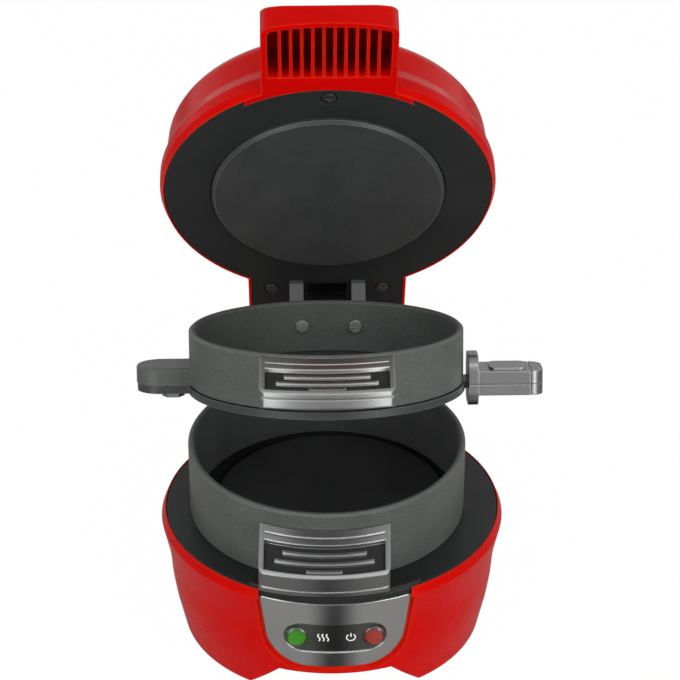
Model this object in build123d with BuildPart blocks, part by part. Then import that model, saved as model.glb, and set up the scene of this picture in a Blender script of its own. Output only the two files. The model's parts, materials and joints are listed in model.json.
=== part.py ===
"""Breakfast sandwich maker: a round base, two stacked cooking rings with a swinging egg plate
between them, and a domed lid, all on one hinge pin at the back.

Frame: origin at the bottom centre of the whole object's box, on the table, +Z up, -Y to the
front (handles and control panel), +X to the user's right. Every leaf is drawn in the closed
object's coordinates, round the base's upright axis, on its own plane, and that plane is
turned open about the hinge.
"""
from build123d import *
from math import cos, radians, sin, sqrt
import os

os.makedirs("parts", exist_ok=True)

# ---------------------------------------------------------------- driving dimensions, mm
BASE_X = -3.35           # the base's upright axis in the object's frame
BASE_Y = -19.75
DECK_Z = 54.0            # top of the base's dark deck above the table
LIP_R = 71.0             # outer radius of the base's red lip
DECK_R = 69.0            # radius of the dark deck
LID_LIP_R = 70.0         # outer radius of the lid's red lip
LINER_R = 68.2           # radius of the lid's dark liner
WALL = 2.5               # moulded wall of the red shells
FIT = 0.1                # gap round a part that drops into another
RUN = 0.05               # radial running clearance on pins

HINGE_Y = 74.0           # the one hinge axis, parallel to X
HINGE_Z = DECK_Z + 36.3
PIN_R = 2.0
PIN_HALF = 25.5          # half length of the hinge pin
KNUCKLE_R = 6.0          # knuckles of the two rings
EAR_R = 7.0              # knuckles of lid arms and base bracket

UPPER_OPEN = 17.74       # rest angle of the upper ring, degrees
LID_OPEN = 64.56         # rest angle of the lid, degrees

RING_X = -2.0            # the rings sit this much to the left of the base's axis
LOWER_R = 57.0           # lower ring, outside
LOWER_TOP = DECK_Z + 31.0
UPPER_R = 55.6           # upper ring, outside
UPPER_BOTTOM = DECK_Z + 34.8
UPPER_TOP = DECK_Z + 56.5
RING_WALL = 2.8
PLATE_BOTTOM = DECK_Z + 31.5
PLATE_TOP = DECK_Z + 34.5
PLATE_R = 56.3
LID_Z = DECK_Z + 57.5    # underside of the lid's liner when closed
LID_H = 33.5             # dome height above that plane

HOT_PLATE_R = 48.5       # both heated plates
HOT_PLATE_RISE = 2.2     # how far a heated plate stands out of its deck
HEATER_R = 34.0          # centre line of the tubular heaters
HEATER_TUBE_R = 3.3

BLOCK_HALF = 34.5        # rear hinge block of base and lid
BLOCK_FRONT = 60.0
BLOCK_BACK = 85.0
BLOCK_TOP = DECK_Z + 10.0
BRACKET_SCREW_X = 26.5   # the hinge bracket's screws, on the hinge's own upright plane
GLAND_Z = 22.0           # height of the cord's hole
GLAND_R = 5.0
SCREW_R = 1.4            # shank of the small screws

GRIP_HALF = 25.75        # front grips of both rings
GRIP_REACH = 20.0
GRIP_FALL = 8.6          # the grip's top falls this much towards its edge
LOWER_GRIP_EDGE = 9.5    # height of the lower grip's front edge
UPPER_GRIP_EDGE = 6.9
LOWER_GRIP_TURN = -1.9   # the grips sit turned a little about their rings' axes, degrees
UPPER_GRIP_TURN = -0.6

HANDLE_HALF = 26.75      # lid handle
HANDLE_REACH = 105.0
HANDLE_END_H = 10.4
RIB_COUNT = 10
RIB_PITCH = 4.3
RIB_THICK = 1.3

PIVOT_X = -62.3          # the egg plate swings about this axis, from the rings' axis
PIVOT_R = 3.0

PANEL_TOP = DECK_Z - 3.3     # control panel, under the deck's front edge
PANEL_BOTTOM = DECK_Z - 37.0
PANEL_TOP_HALF = 30.2
PANEL_BOTTOM_HALF = 26.0
PANEL_CORNER_R = 17.0
LIGHT_X = 15.4
LIGHT_Z = DECK_Z - 21.2
LIGHT_R = 5.0

FAR = 120.0              # longer than anything here, for cuts that go right through


# ---------------------------------------------------------------- frames and helpers
def leaf(angle, x=0.0, turn=0.0):
    """The closed object's frame turned open by an angle about the hinge.

    It can stand beside the base's axis by x, and be turned about its own upright axis.
    """
    pin = Pos(BASE_X + x, BASE_Y + HINGE_Y, HINGE_Z)
    return Plane(pin * Rot(X=-angle) * Pos(0, -HINGE_Y, -HINGE_Z) * Rot(Z=turn))


BASE = leaf(0)
LOWER = leaf(0)
UPPER = leaf(UPPER_OPEN)
LID = leaf(LID_OPEN)
LOWER_RING = leaf(0, RING_X)
UPPER_RING = leaf(UPPER_OPEN, RING_X)
LOWER_GRIP = leaf(0, RING_X, LOWER_GRIP_TURN)
UPPER_GRIP = leaf(UPPER_OPEN, RING_X, UPPER_GRIP_TURN)


def section(frame):
    """Upright plane through a leaf's axis: x is the radius, y the height."""
    return Plane(origin=frame.origin, x_dir=frame.x_dir, z_dir=-frame.y_dir)


def side(frame, x=0.0):
    """Upright plane square to the hinge, at x: its x runs to the back, its y up."""
    return Plane(origin=frame.origin + frame.x_dir * x, x_dir=frame.y_dir, z_dir=frame.x_dir)


def axis_of(frame, x=0.0, y=0.0):
    """The leaf's upright axis through a point of its plan."""
    foot = frame.origin + frame.x_dir * x + frame.y_dir * y
    return Axis(foot, frame.z_dir)


def turned(frame, points, rounded=(), radii=()):
    """A closed profile of (radius, height) points turned right round the leaf's axis.

    A stretch with rounded corners, where there is one, closes the profile.
    """
    with BuildPart() as piece:
        with BuildSketch(section(frame)):
            with BuildLine():
                if rounded:
                    FilletPolyline(*rounded, radius=radii)
                    Polyline(rounded[-1], *points, rounded[0])
                else:
                    Polyline(*points, close=True)
            make_face()
        revolve(axis=axis_of(frame))
    return piece.part


def front_sector(frame, points, half_width):
    """A turned profile, kept only in front of the axis and within half_width of it."""
    with BuildPart() as piece:
        add(turned(frame, points))
        with BuildSketch(frame):
            with Locations((0, -FAR / 2)):
                Rectangle(2 * half_width, FAR)
        extrude(amount=2 * FAR, mode=Mode.INTERSECT)
    return piece.part


def screws(frame, points, head_z, tip_z, head_r=2.7, shank_r=SCREW_R, head_h=1.5):
    """Screws along a leaf's axis, with a cross recess in each head."""
    way = 1 if tip_z > head_z else -1
    slot_l = 1.3 * head_r
    slot_w = 0.55
    slot_d = 0.8
    with BuildPart() as group:
        with BuildSketch(frame.offset(head_z)):
            with Locations(*points):
                Circle(head_r)
        extrude(amount=way * head_h)
        with BuildSketch(frame.offset(head_z)):
            with Locations(*points):
                Circle(shank_r)
        extrude(amount=tip_z - head_z)
        with BuildSketch(frame.offset(head_z)):
            with Locations(*points):
                Rectangle(slot_l, slot_w)
                Rectangle(slot_w, slot_l)
        extrude(amount=way * slot_d, mode=Mode.SUBTRACT)
    return group.part


def hinge_plate(frame, x, thick, outline, knuckle_r, bore_r):
    """A flat hinge leaf: an outline of (y, z) points joined to a bored knuckle on the axis."""
    with BuildPart() as plate:
        with BuildSketch(side(frame, x)):
            with BuildLine():
                Polyline(*outline, close=True)
            make_face()
            with Locations((HINGE_Y, HINGE_Z)):
                Circle(knuckle_r)
                Circle(bore_r, mode=Mode.SUBTRACT)
        extrude(amount=thick)
    return plate.part


# ================================================================ base
# ---------------------------------------------------------------- red base shell
SHELL_FOOT_Z = 1.0
FOOT_R = 62.8            # outside radius of the shell at its foot
LEDGE_Z = DECK_Z - 3.1   # the deck drops onto this ledge
LEDGE_R = 66.6
ARCH_HALF = 22.6         # the shell's foot is cut away under the panel
ARCH_FOOT_HALF = 34.5
ARCH_Z = 14.2
OPENING_DEPTH = 45.0     # the panel's opening and the arch are cut from here outwards
LIP_FOOT_Z = DECK_Z - 3.7
REBATE = 1.4             # width of the step round the panel's opening
PANEL_TOP_R = 69.0       # the panel's face leans in from its top to its foot
PANEL_FOOT_R = 64.9
BOSS_R = 3.5
BOSS_IN = 55.5           # bottom screw circle
BOSS_TOP = 18.0
BOSS_ANGLES = (35, 145, 215, 325)
COVER_Z = 2.0            # underside of the bottom cover
COVER_H = 2.4

LOW_R, LOW_Z = 66.0, 16.0        # the outside leans out from the foot through these heights
BELT_R, BELT_Z = 67.3, 25.0
WAIST_R, WAIST_Z = 68.0, 36.0

outer_side = [(FOOT_R, SHELL_FOOT_Z), (LOW_R, LOW_Z), (BELT_R, BELT_Z), (WAIST_R, WAIST_Z),
              (LIP_R, LIP_FOOT_Z)]
outer_radii = [60.0, 60.0, 60.0]
outer_lip = [(DECK_R + 0.5, DECK_Z), (DECK_R + FIT, DECK_Z), (DECK_R + FIT, LEDGE_Z),
             (0, LEDGE_Z), (0, SHELL_FOOT_Z)]
inner_profile = [
    (0, 0), (FOOT_R - WALL - 0.3, 0), (LOW_R - WALL, LOW_Z), (BELT_R - WALL, BELT_Z),
    (WAIST_R - WALL, WAIST_Z), (LIP_R - 0.4 - WALL, LEDGE_Z - 2), (LEDGE_R, LEDGE_Z - 2),
    (LEDGE_R, LEDGE_Z), (0, LEDGE_Z)]


def panel_outline(grow=0.0, rise=0.0):
    """The control panel's front outline in (x, z): a trapezoid with large lower corners."""
    top_half = PANEL_TOP_HALF + grow
    foot_half = PANEL_BOTTOM_HALF + grow
    foot = PANEL_BOTTOM - grow
    with BuildSketch() as outline:
        with BuildLine():
            Polyline((-top_half, PANEL_TOP + rise), (-top_half, PANEL_TOP), (-foot_half, foot),
                     (foot_half, foot), (top_half, PANEL_TOP), (top_half, PANEL_TOP + rise),
                     close=True)
        make_face()
        fillet(outline.vertices().group_by(Axis.Y)[0], PANEL_CORNER_R)
    return outline.sketch


def panel_r(z):
    """Radius of the panel's face at a height."""
    share = (z - PANEL_BOTTOM) / (PANEL_TOP - PANEL_BOTTOM)
    return PANEL_FOOT_R + share * (PANEL_TOP_R - PANEL_FOOT_R)


with BuildPart() as panel_rebate:
    add(turned(BASE, [(panel_r(PANEL_BOTTOM - REBATE), PANEL_BOTTOM - REBATE),
                      (panel_r(LIP_FOOT_Z), LIP_FOOT_Z), (FAR, LIP_FOOT_Z),
                      (FAR, PANEL_BOTTOM - REBATE)]))
    with BuildSketch(section(BASE).offset(OPENING_DEPTH)):
        add(panel_outline(REBATE, rise=FAR))
    extrude(amount=FAR, mode=Mode.INTERSECT)

boss_spots = [(BOSS_IN * cos(radians(a)), BOSS_IN * sin(radians(a))) for a in BOSS_ANGLES]

with BuildPart() as base_shell:
    add(turned(BASE, outer_lip, outer_side, outer_radii))
    with BuildSketch(BASE.offset(SHELL_FOOT_Z)):
        with Locations((0, (BLOCK_FRONT + BLOCK_BACK) / 2)):
            RectangleRounded(2 * BLOCK_HALF, BLOCK_BACK - BLOCK_FRONT, 4)
    extrude(amount=BLOCK_TOP - SHELL_FOOT_Z)
    fillet(base_shell.edges().group_by(Axis.Z)[-1], 1.5)
    # below the lip the block's sides run on to the round wall
    with BuildSketch(BASE.offset(SHELL_FOOT_Z)):
        with Locations((0, BLOCK_FRONT)):
            Rectangle(2 * BLOCK_HALF, BLOCK_FRONT / 2)
    extrude(amount=LEDGE_Z - 2 - SHELL_FOOT_Z)
    add(turned(BASE, inner_profile), mode=Mode.SUBTRACT)
    # the block's cavity is open to the base's, up to the deck's ledge
    with BuildSketch(BASE):
        with Locations((0, (BLOCK_FRONT + BLOCK_BACK) / 2)):
            RectangleRounded(2 * (BLOCK_HALF - WALL), BLOCK_BACK - BLOCK_FRONT - 2 * WALL, 2)
    extrude(amount=BLOCK_TOP - WALL, mode=Mode.SUBTRACT)
    with BuildSketch(BASE):
        with Locations((0, BLOCK_FRONT)):
            Rectangle(2 * (BLOCK_HALF - WALL), BLOCK_FRONT / 2)
    extrude(amount=LEDGE_Z - 2, mode=Mode.SUBTRACT)
    # panel opening, with the lip left out above it
    with BuildSketch(section(BASE).offset(OPENING_DEPTH)):
        add(panel_outline(FIT, rise=FAR))
    extrude(amount=FAR, mode=Mode.SUBTRACT)
    # arched foot under the panel
    with BuildSketch(section(BASE).offset(OPENING_DEPTH)):
        with BuildLine():
            Polyline((-ARCH_FOOT_HALF, 0), (-ARCH_FOOT_HALF, SHELL_FOOT_Z), (-ARCH_HALF, ARCH_Z),
                     (ARCH_HALF, ARCH_Z), (ARCH_FOOT_HALF, SHELL_FOOT_Z), (ARCH_FOOT_HALF, 0),
                     close=True)
        make_face()
    extrude(amount=FAR, mode=Mode.SUBTRACT)
    # bosses for the bottom screws, run out to the wall
    with BuildSketch(BASE.offset(COVER_Z + COVER_H)):
        for angle in BOSS_ANGLES:
            with PolarLocations(BOSS_IN + 1.7, 1, start_angle=angle):
                SlotCenterToCenter(3.4, 2 * BOSS_R)
    extrude(amount=BOSS_TOP - COVER_Z - COVER_H)
    with BuildSketch(BASE):
        with Locations(*boss_spots):
            Circle(SCREW_R + RUN)
    extrude(amount=BOSS_TOP - WALL, mode=Mode.SUBTRACT)
    # screw holes under the hinge bracket, and the cord's hole at the back
    with BuildSketch(BASE.offset(BLOCK_TOP)):
        with Locations((-BRACKET_SCREW_X, HINGE_Y), (BRACKET_SCREW_X, HINGE_Y)):
            Circle(1.6 + RUN)
    extrude(amount=-2 * WALL, mode=Mode.SUBTRACT)
    with BuildSketch(section(BASE).offset(-BLOCK_BACK)):
        with Locations((0, GLAND_Z)):
            Circle(GLAND_R + RUN)
    extrude(amount=2 * WALL, mode=Mode.SUBTRACT)
    add(panel_rebate.part, mode=Mode.SUBTRACT)

base_shell.part.label = "base_shell"
export_step(base_shell.part, "parts/base_shell.step")

# ---------------------------------------------------------------- deck and front land
DECK_H = 3.0
NOTCH_HALF = 33.8        # the deck's front stretch between its two notches
LAND_INNER_R = 65.6
LAND_RISE = 1.2

with BuildPart() as base_deck:
    with BuildSketch(BASE.offset(DECK_Z - DECK_H)):
        Circle(DECK_R)
        Circle(HOT_PLATE_R + 0.5, mode=Mode.SUBTRACT)
    extrude(amount=DECK_H)
    chamfer(base_deck.edges().group_by(Axis.Z)[-1], 0.5)
    with BuildSketch(BASE.offset(DECK_Z - DECK_H)):
        with Locations((0, FAR / 2 + BLOCK_FRONT - 0.3)):
            Rectangle(2 * BLOCK_HALF + 0.6, FAR)
    extrude(amount=2 * DECK_H, mode=Mode.SUBTRACT)
    add(front_sector(BASE, [(LAND_INNER_R, DECK_Z - 1), (DECK_R - 0.6, DECK_Z - 1),
                            (DECK_R - 0.6, DECK_Z + LAND_RISE - 0.4),
                            (DECK_R - 1.0, DECK_Z + LAND_RISE),
                            (LAND_INNER_R + 0.5, DECK_Z + LAND_RISE)], NOTCH_HALF))

base_deck.part.label = "base_deck"
export_step(base_deck.part, "parts/base_deck.step")


# ---------------------------------------------------------------- heated plates and heaters
def hot_plate(frame, face_z, way):
    """A cast plate: a raised disc in front of a wider flange behind the deck."""
    back = face_z - way * (HOT_PLATE_RISE + DECK_H + 0.1)
    rear = back - way * 3.0
    edge = 1.2
    points = [(0, face_z), (HOT_PLATE_R - edge, face_z), (HOT_PLATE_R, face_z - way * edge),
              (HOT_PLATE_R, back), (HOT_PLATE_R + 4, back), (HOT_PLATE_R + 4, rear), (0, rear)]
    return turned(frame, points), rear


def heater(frame, plate_rear, way):
    """A tubular heater lying behind a plate: an open ring with two terminal ends."""
    gap_angle = 40
    centre = plate_rear - way * (HEATER_TUBE_R + 0.2)
    end_l = 9.0
    with BuildPart() as tube:
        with BuildSketch(section(frame)):
            with Locations((HEATER_R, centre)):
                Circle(HEATER_TUBE_R)
        revolve(axis=axis_of(frame), revolution_arc=360 - gap_angle)
        with BuildSketch(frame.offset(centre)):
            with PolarLocations(HEATER_R, 2, start_angle=0, angular_range=gap_angle):
                Circle(1.6)
        extrude(amount=-way * end_l)
    return tube.part


def shield(frame, plate_rear, way):
    """A thin pressed dish behind the heater, flanged outwards against the plate's back."""
    depth = 10.5
    skin = 0.8
    rim_r = HOT_PLATE_R + 3
    wall_r = HEATER_R + 9
    base_r = wall_r - 4
    face = plate_rear - way * 0.05
    points = [(rim_r, face), (rim_r, face - way * skin), (wall_r + skin, face - way * skin),
              (base_r + skin, face - way * (depth + skin)), (0, face - way * (depth + skin)),
              (0, face - way * depth), (base_r, face - way * depth), (wall_r, face)]
    with BuildPart() as dish:
        add(turned(frame, points))
        # clearance holes for the heater's ends, the thermostat's bush and the fuse's screw
        with BuildSketch(frame.offset(face)):
            with PolarLocations(HEATER_R, 2, start_angle=0, angular_range=40):
                Circle(3.0)
            with Locations((0, 0)):
                Circle(4.2)
        extrude(amount=-way * 2 * depth, mode=Mode.SUBTRACT)
    return dish.part


lower_plate_part, lower_plate_rear = hot_plate(BASE, DECK_Z + HOT_PLATE_RISE, 1)

with BuildPart() as lower_heating_plate:
    add(lower_plate_part)
lower_heating_plate.part.label = "lower_heating_plate"
export_step(lower_heating_plate.part, "parts/lower_heating_plate.step")

with BuildPart() as lower_heating_element:
    add(heater(BASE, lower_plate_rear, 1))
lower_heating_element.part.label = "lower_heating_element"
export_step(lower_heating_element.part, "parts/lower_heating_element.step")

with BuildPart() as base_heat_shield:
    add(shield(BASE, lower_plate_rear, 1))
base_heat_shield.part.label = "base_heat_shield"
export_step(base_heat_shield.part, "parts/base_heat_shield.step")

# ---------------------------------------------------------------- thermostat, fuse, terminals
with BuildPart() as thermostat:
    with BuildSketch(BASE.offset(lower_plate_rear - 0.05)):
        Circle(4.0)
    extrude(amount=-14)
    with BuildSketch(BASE.offset(lower_plate_rear - 14)):
        Circle(8.5)
    extrude(amount=-6)
    with BuildSketch(BASE.offset(lower_plate_rear - 20)):
        with Locations((0, 5), (0, -5)):
            Rectangle(6.3, 0.8)
    extrude(amount=-6)
thermostat.part.label = "thermostat"
export_step(thermostat.part, "parts/thermostat.step")

FUSE_Y = 24.0
FUSE_Z = lower_plate_rear - 13.9
with BuildPart() as thermal_fuse:
    with BuildSketch(side(BASE, -9)):
        with Locations((FUSE_Y, FUSE_Z)):
            Circle(2.2)
    extrude(amount=18)
    with BuildSketch(side(BASE, -16)):
        with Locations((FUSE_Y, FUSE_Z)):
            Circle(0.6)
    extrude(amount=32)
thermal_fuse.part.label = "thermal_fuse"
export_step(thermal_fuse.part, "parts/thermal_fuse.step")

TERMINAL_Y = 42.0
TERMINAL_Z = COVER_Z + COVER_H + 0.1
TERMINAL_H = 13.0
with BuildPart() as terminal_block:
    with BuildSketch(BASE.offset(TERMINAL_Z)):
        with Locations((0, TERMINAL_Y)):
            Rectangle(32, 15)
    extrude(amount=TERMINAL_H)
    with BuildSketch(BASE.offset(TERMINAL_Z + TERMINAL_H)):
        with Locations((-10, TERMINAL_Y), (0, TERMINAL_Y), (10, TERMINAL_Y)):
            Rectangle(1.2, 17)
    extrude(amount=4)
    with BuildSketch(BASE.offset(TERMINAL_Z + TERMINAL_H)):
        with Locations((0, TERMINAL_Y)):
            with GridLocations(10, 8, 2, 2):
                Circle(2.0)
    extrude(amount=-8, mode=Mode.SUBTRACT)
terminal_block.part.label = "terminal_block"
export_step(terminal_block.part, "parts/terminal_block.step")

# ---------------------------------------------------------------- control panel and lights
PANEL_THICK = 2.4
LIGHT_BACK_Y = 6.6 - panel_r(LIGHT_Z)

LABEL_L = 41.0           # shallow recess round the lights
LABEL_H = 15.0
LABEL_D = 0.5

with BuildPart() as label_recess:
    add(turned(BASE, [(PANEL_FOOT_R - LABEL_D, PANEL_BOTTOM), (PANEL_TOP_R - LABEL_D, PANEL_TOP),
                      (PANEL_TOP_R + 2, PANEL_TOP), (PANEL_FOOT_R + 2, PANEL_BOTTOM)]))
    with BuildSketch(section(BASE).offset(40)):
        with Locations((0, LIGHT_Z - 0.5)):
            SlotOverall(LABEL_L, LABEL_H)
    extrude(amount=FAR, mode=Mode.INTERSECT)

with BuildPart() as control_panel:
    add(turned(BASE, [(PANEL_FOOT_R, PANEL_BOTTOM), (PANEL_TOP_R, PANEL_TOP),
                      (PANEL_TOP_R - PANEL_THICK, PANEL_TOP),
                      (PANEL_FOOT_R - PANEL_THICK, PANEL_BOTTOM)]))
    with BuildSketch(section(BASE).offset(40)):
        add(panel_outline(-FIT, rise=1))
    extrude(amount=FAR, mode=Mode.INTERSECT)
    with BuildSketch(section(BASE).offset(40)):
        with Locations((-LIGHT_X, LIGHT_Z), (LIGHT_X, LIGHT_Z)):
            Circle(LIGHT_R + RUN)
    extrude(amount=FAR, mode=Mode.SUBTRACT)
    add(label_recess.part, mode=Mode.SUBTRACT)
control_panel.part.label = "control_panel"
export_step(control_panel.part, "parts/control_panel.step")


def lens(x):
    """A round indicator lens: a flange behind the panel, a barrel and a low dome."""
    face = Plane(origin=BASE.from_local_coords((x, LIGHT_BACK_Y, LIGHT_Z)), x_dir=(1, 0, 0),
                 z_dir=(0, -1, 0))
    barrel = 4.1
    dome = 2.2
    flange_r = LIGHT_R + 1.2
    with BuildPart() as body:
        with BuildSketch(face):
            Circle(LIGHT_R)
        extrude(amount=barrel + dome)
        fillet(body.edges().sort_by(axis_of(face))[-1], dome)
        with BuildSketch(face):
            Circle(flange_r)
        extrude(amount=-1)
        with BuildSketch(face.offset(-1)):
            Circle(LIGHT_R - 1)
        extrude(amount=-1)
    return body.part


def lamp(x):
    """A small neon lamp standing behind its lens, with two leads."""
    face = Plane(origin=BASE.from_local_coords((x, LIGHT_BACK_Y + 2.3, LIGHT_Z)),
                 x_dir=(1, 0, 0), z_dir=(0, 1, 0))
    with BuildPart() as body:
        with BuildSketch(face):
            Circle(3.0)
        extrude(amount=12)
        with BuildSketch(face.offset(12)):
            with Locations((-1.5, 0), (1.5, 0)):
                Circle(0.5)
        extrude(amount=8)
    return body.part


with BuildPart() as green_lens:
    add(lens(-LIGHT_X))
green_lens.part.label = "green_lens"
export_step(green_lens.part, "parts/green_lens.step")

with BuildPart() as red_lens:
    add(lens(LIGHT_X))
red_lens.part.label = "red_lens"
export_step(red_lens.part, "parts/red_lens.step")

with BuildPart() as indicator_lamps:
    add(lamp(-LIGHT_X))
    add(lamp(LIGHT_X))
indicator_lamps.part.label = "indicator_lamps"
export_step(indicator_lamps.part, "parts/indicator_lamps.step")

# ---------------------------------------------------------------- bottom cover, feet, screws
COVER_R = FOOT_R - WALL - 0.6
FRONT_WALL_Y = -44.0     # the cover stops here, behind the arched foot
FRONT_WALL_HALF = 38.0
FOOT_SPOTS = [(33, 33), (-33, 33), (33, -33), (-33, -33)]

with BuildPart() as bottom_cover:
    with BuildSketch(BASE.offset(COVER_Z)):
        Circle(COVER_R)
        with Locations((0, (BLOCK_FRONT + BLOCK_BACK) / 2 - 4)):
            RectangleRounded(2 * (BLOCK_HALF - WALL - 2 * FIT), BLOCK_BACK - BLOCK_FRONT + 2, 2.5)
    extrude(amount=COVER_H)
    with BuildSketch(BASE.offset(COVER_Z)):
        with Locations((0, FRONT_WALL_Y - 30)):
            Rectangle(FAR, 60)
    extrude(amount=COVER_H, mode=Mode.SUBTRACT)
    with BuildSketch(BASE.offset(COVER_Z)):
        with Locations((0, FRONT_WALL_Y + 1)):
            Rectangle(2 * FRONT_WALL_HALF, 2)
    extrude(amount=ARCH_Z)
    # vent slots
    with BuildSketch(BASE.offset(COVER_Z)):
        with Locations((0, -18)):
            with GridLocations(6, 0, 7, 1):
                SlotOverall(26, 2.4, rotation=90)
    extrude(amount=COVER_H, mode=Mode.SUBTRACT)
    with BuildSketch(BASE.offset(COVER_Z)):
        with Locations(*boss_spots):
            Circle(SCREW_R + RUN)
        with Locations(*FOOT_SPOTS):
            Circle(2.5 + RUN)
    extrude(amount=COVER_H, mode=Mode.SUBTRACT)
bottom_cover.part.label = "bottom_cover"
export_step(bottom_cover.part, "parts/bottom_cover.step")

with BuildPart() as rubber_feet:
    with BuildSketch(BASE):
        with Locations(*FOOT_SPOTS):
            Circle(6.5)
    extrude(amount=COVER_Z, taper=-6)
    with BuildSketch(BASE.offset(COVER_Z)):
        with Locations(*FOOT_SPOTS):
            Circle(2.5)
    extrude(amount=COVER_H)
rubber_feet.part.label = "rubber_feet"
export_step(rubber_feet.part, "parts/rubber_feet.step")

with BuildPart() as bottom_screws:
    add(screws(BASE, boss_spots, COVER_Z - 1.3, BOSS_TOP - 6, head_r=2.5, head_h=1.3))
bottom_screws.part.label = "bottom_screws"
export_step(bottom_screws.part, "parts/bottom_screws.step")

# ---------------------------------------------------------------- hinge bracket and pin
BRACKET_FOOT_H = 3.0
EAR_IN = 17.5
EAR_THICK = 6.0
BRACKET_HALF = 30.0
BRACKET_DEPTH = 16.0
BRACKET_HOLES = [(-BRACKET_SCREW_X, HINGE_Y), (BRACKET_SCREW_X, HINGE_Y)]
ear_outline = [(67.5, BLOCK_TOP), (80.5, BLOCK_TOP), (81.0, HINGE_Z), (67.0, HINGE_Z)]

with BuildPart() as hinge_bracket:
    with BuildSketch(BASE.offset(BLOCK_TOP)):
        with Locations((0, HINGE_Y)):
            RectangleRounded(2 * BRACKET_HALF, BRACKET_DEPTH, 3)
    extrude(amount=BRACKET_FOOT_H)
    for ear_x in (-EAR_IN - EAR_THICK, EAR_IN):
        add(hinge_plate(BASE, ear_x, EAR_THICK, ear_outline, EAR_R, PIN_R + 0.02))
    with BuildSketch(BASE.offset(BLOCK_TOP)):
        with Locations(*BRACKET_HOLES):
            Circle(1.6 + RUN)
    extrude(amount=BRACKET_FOOT_H, mode=Mode.SUBTRACT)
    # the bores are opened once more, through the ears' outlines
    with BuildSketch(side(BASE, -FAR / 2)):
        with Locations((HINGE_Y, HINGE_Z)):
            Circle(PIN_R + 0.02)
    extrude(amount=FAR, mode=Mode.SUBTRACT)
hinge_bracket.part.label = "hinge_bracket"
export_step(hinge_bracket.part, "parts/hinge_bracket.step")

with BuildPart() as bracket_screws:
    add(screws(BASE, BRACKET_HOLES, BLOCK_TOP + BRACKET_FOOT_H + 1.6, BLOCK_TOP - 1.5,
               head_r=2.7, shank_r=1.6, head_h=1.6))
bracket_screws.part.label = "bracket_screws"
export_step(bracket_screws.part, "parts/bracket_screws.step")

with BuildPart() as hinge_pin:
    with BuildSketch(side(BASE, -PIN_HALF)):
        with Locations((HINGE_Y, HINGE_Z)):
            Circle(PIN_R)
    extrude(amount=2 * PIN_HALF)
    chamfer(hinge_pin.edges().filter_by(GeomType.CIRCLE), 0.4)
hinge_pin.part.label = "hinge_pin"
export_step(hinge_pin.part, "parts/hinge_pin.step")

with BuildPart() as pin_clips:
    for clip_x in (-EAR_IN - EAR_THICK - 0.9, EAR_IN + EAR_THICK + 0.1):
        with BuildSketch(side(BASE, clip_x)):
            with Locations((HINGE_Y, HINGE_Z)):
                Circle(4.2)
                Circle(PIN_R + 0.02, mode=Mode.SUBTRACT)
        extrude(amount=0.8)
pin_clips.part.label = "pin_clips"
export_step(pin_clips.part, "parts/pin_clips.step")

# ---------------------------------------------------------------- cord gland
GLAND_FLANGE_R = 7.0
with BuildPart() as cord_gland:
    with BuildSketch(section(BASE).offset(-BLOCK_BACK)):
        with Locations((0, GLAND_Z)):
            Circle(GLAND_FLANGE_R)
    extrude(amount=-3.0)
    with BuildSketch(section(BASE).offset(-BLOCK_BACK)):
        with Locations((0, GLAND_Z)):
            Circle(GLAND_R)
    extrude(amount=WALL + 3)
    with BuildSketch(section(BASE).offset(-BLOCK_BACK - 4)):
        with Locations((0, GLAND_Z)):
            Circle(3.4)
    extrude(amount=4 + WALL + 4, mode=Mode.SUBTRACT)
cord_gland.part.label = "cord_gland"
export_step(cord_gland.part, "parts/cord_gland.step")

# ================================================================ lower ring
# ---------------------------------------------------------------- front grip, for both rings
def grip_body(frame, ring_r, inner_top, bottom, edge_h, parting):
    """A front grip: concentric with its ring, falling outwards, its front corners rounded.

    The front edge is edge_h high; a groove runs along it at the share parting of that height.
    """
    inner = ring_r + 0.05
    edge = ring_r + GRIP_REACH
    outer_top = inner_top - GRIP_FALL
    points = [(inner, inner_top), (edge - 1.0, outer_top + 0.4), (edge, outer_top - 0.6),
              (edge, outer_top - edge_h + 0.6), (edge - 0.6, outer_top - edge_h),
              (inner, bottom)]
    with BuildPart() as body:
        add(front_sector(frame, points, GRIP_HALF))
        corners = body.edges().filter_by(Axis(frame.origin, frame.z_dir))
        fillet(corners.sort_by(axis_of(section(frame)))[-2:], 3.0)
        # long recess in the top, along the slope
        start = ring_r + 0.33 * GRIP_REACH
        end = ring_r + 0.93 * GRIP_REACH
        recess_d = 1.6

        def top_at(radius):
            return inner_top - GRIP_FALL * (radius - ring_r) / GRIP_REACH

        recess = [(start, top_at(start) + 5), (start, top_at(start) - recess_d),
                  (end, top_at(end) - recess_d), (end, top_at(end) + 5)]
        add(front_sector(frame, recess, GRIP_HALF - 2.0), mode=Mode.SUBTRACT)
        # raised finger bars in the recess
        for share, half in ((0.46, 16.5), (0.65, 19.5), (0.82, 7.0)):
            radius = ring_r + share * GRIP_REACH
            bar = [(radius, top_at(radius) - recess_d - 0.3), (radius, top_at(radius) - 0.5),
                   (radius + 1.4, top_at(radius + 1.4) - 0.5),
                   (radius + 1.4, top_at(radius + 1.4) - recess_d - 0.3)]
            add(front_sector(frame, bar, half))
        # fine groove along the strip behind the recess
        line = ring_r + 0.17 * GRIP_REACH
        line_cut = [(line, top_at(line) - 0.4), (line + 0.5, top_at(line + 0.5) - 0.4),
                    (line + 0.5, top_at(line) + 5), (line, top_at(line) + 5)]
        add(front_sector(frame, line_cut, GRIP_HALF - 2.0), mode=Mode.SUBTRACT)
        # parting groove along the front edge
        groove_z = outer_top - parting * edge_h
        groove = [(edge - 0.5, groove_z), (edge + 5, groove_z), (edge + 5, groove_z + 0.5),
                  (edge - 0.5, groove_z + 0.5)]
        add(front_sector(frame, groove, GRIP_HALF + 1), mode=Mode.SUBTRACT)
    return body.part


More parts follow.
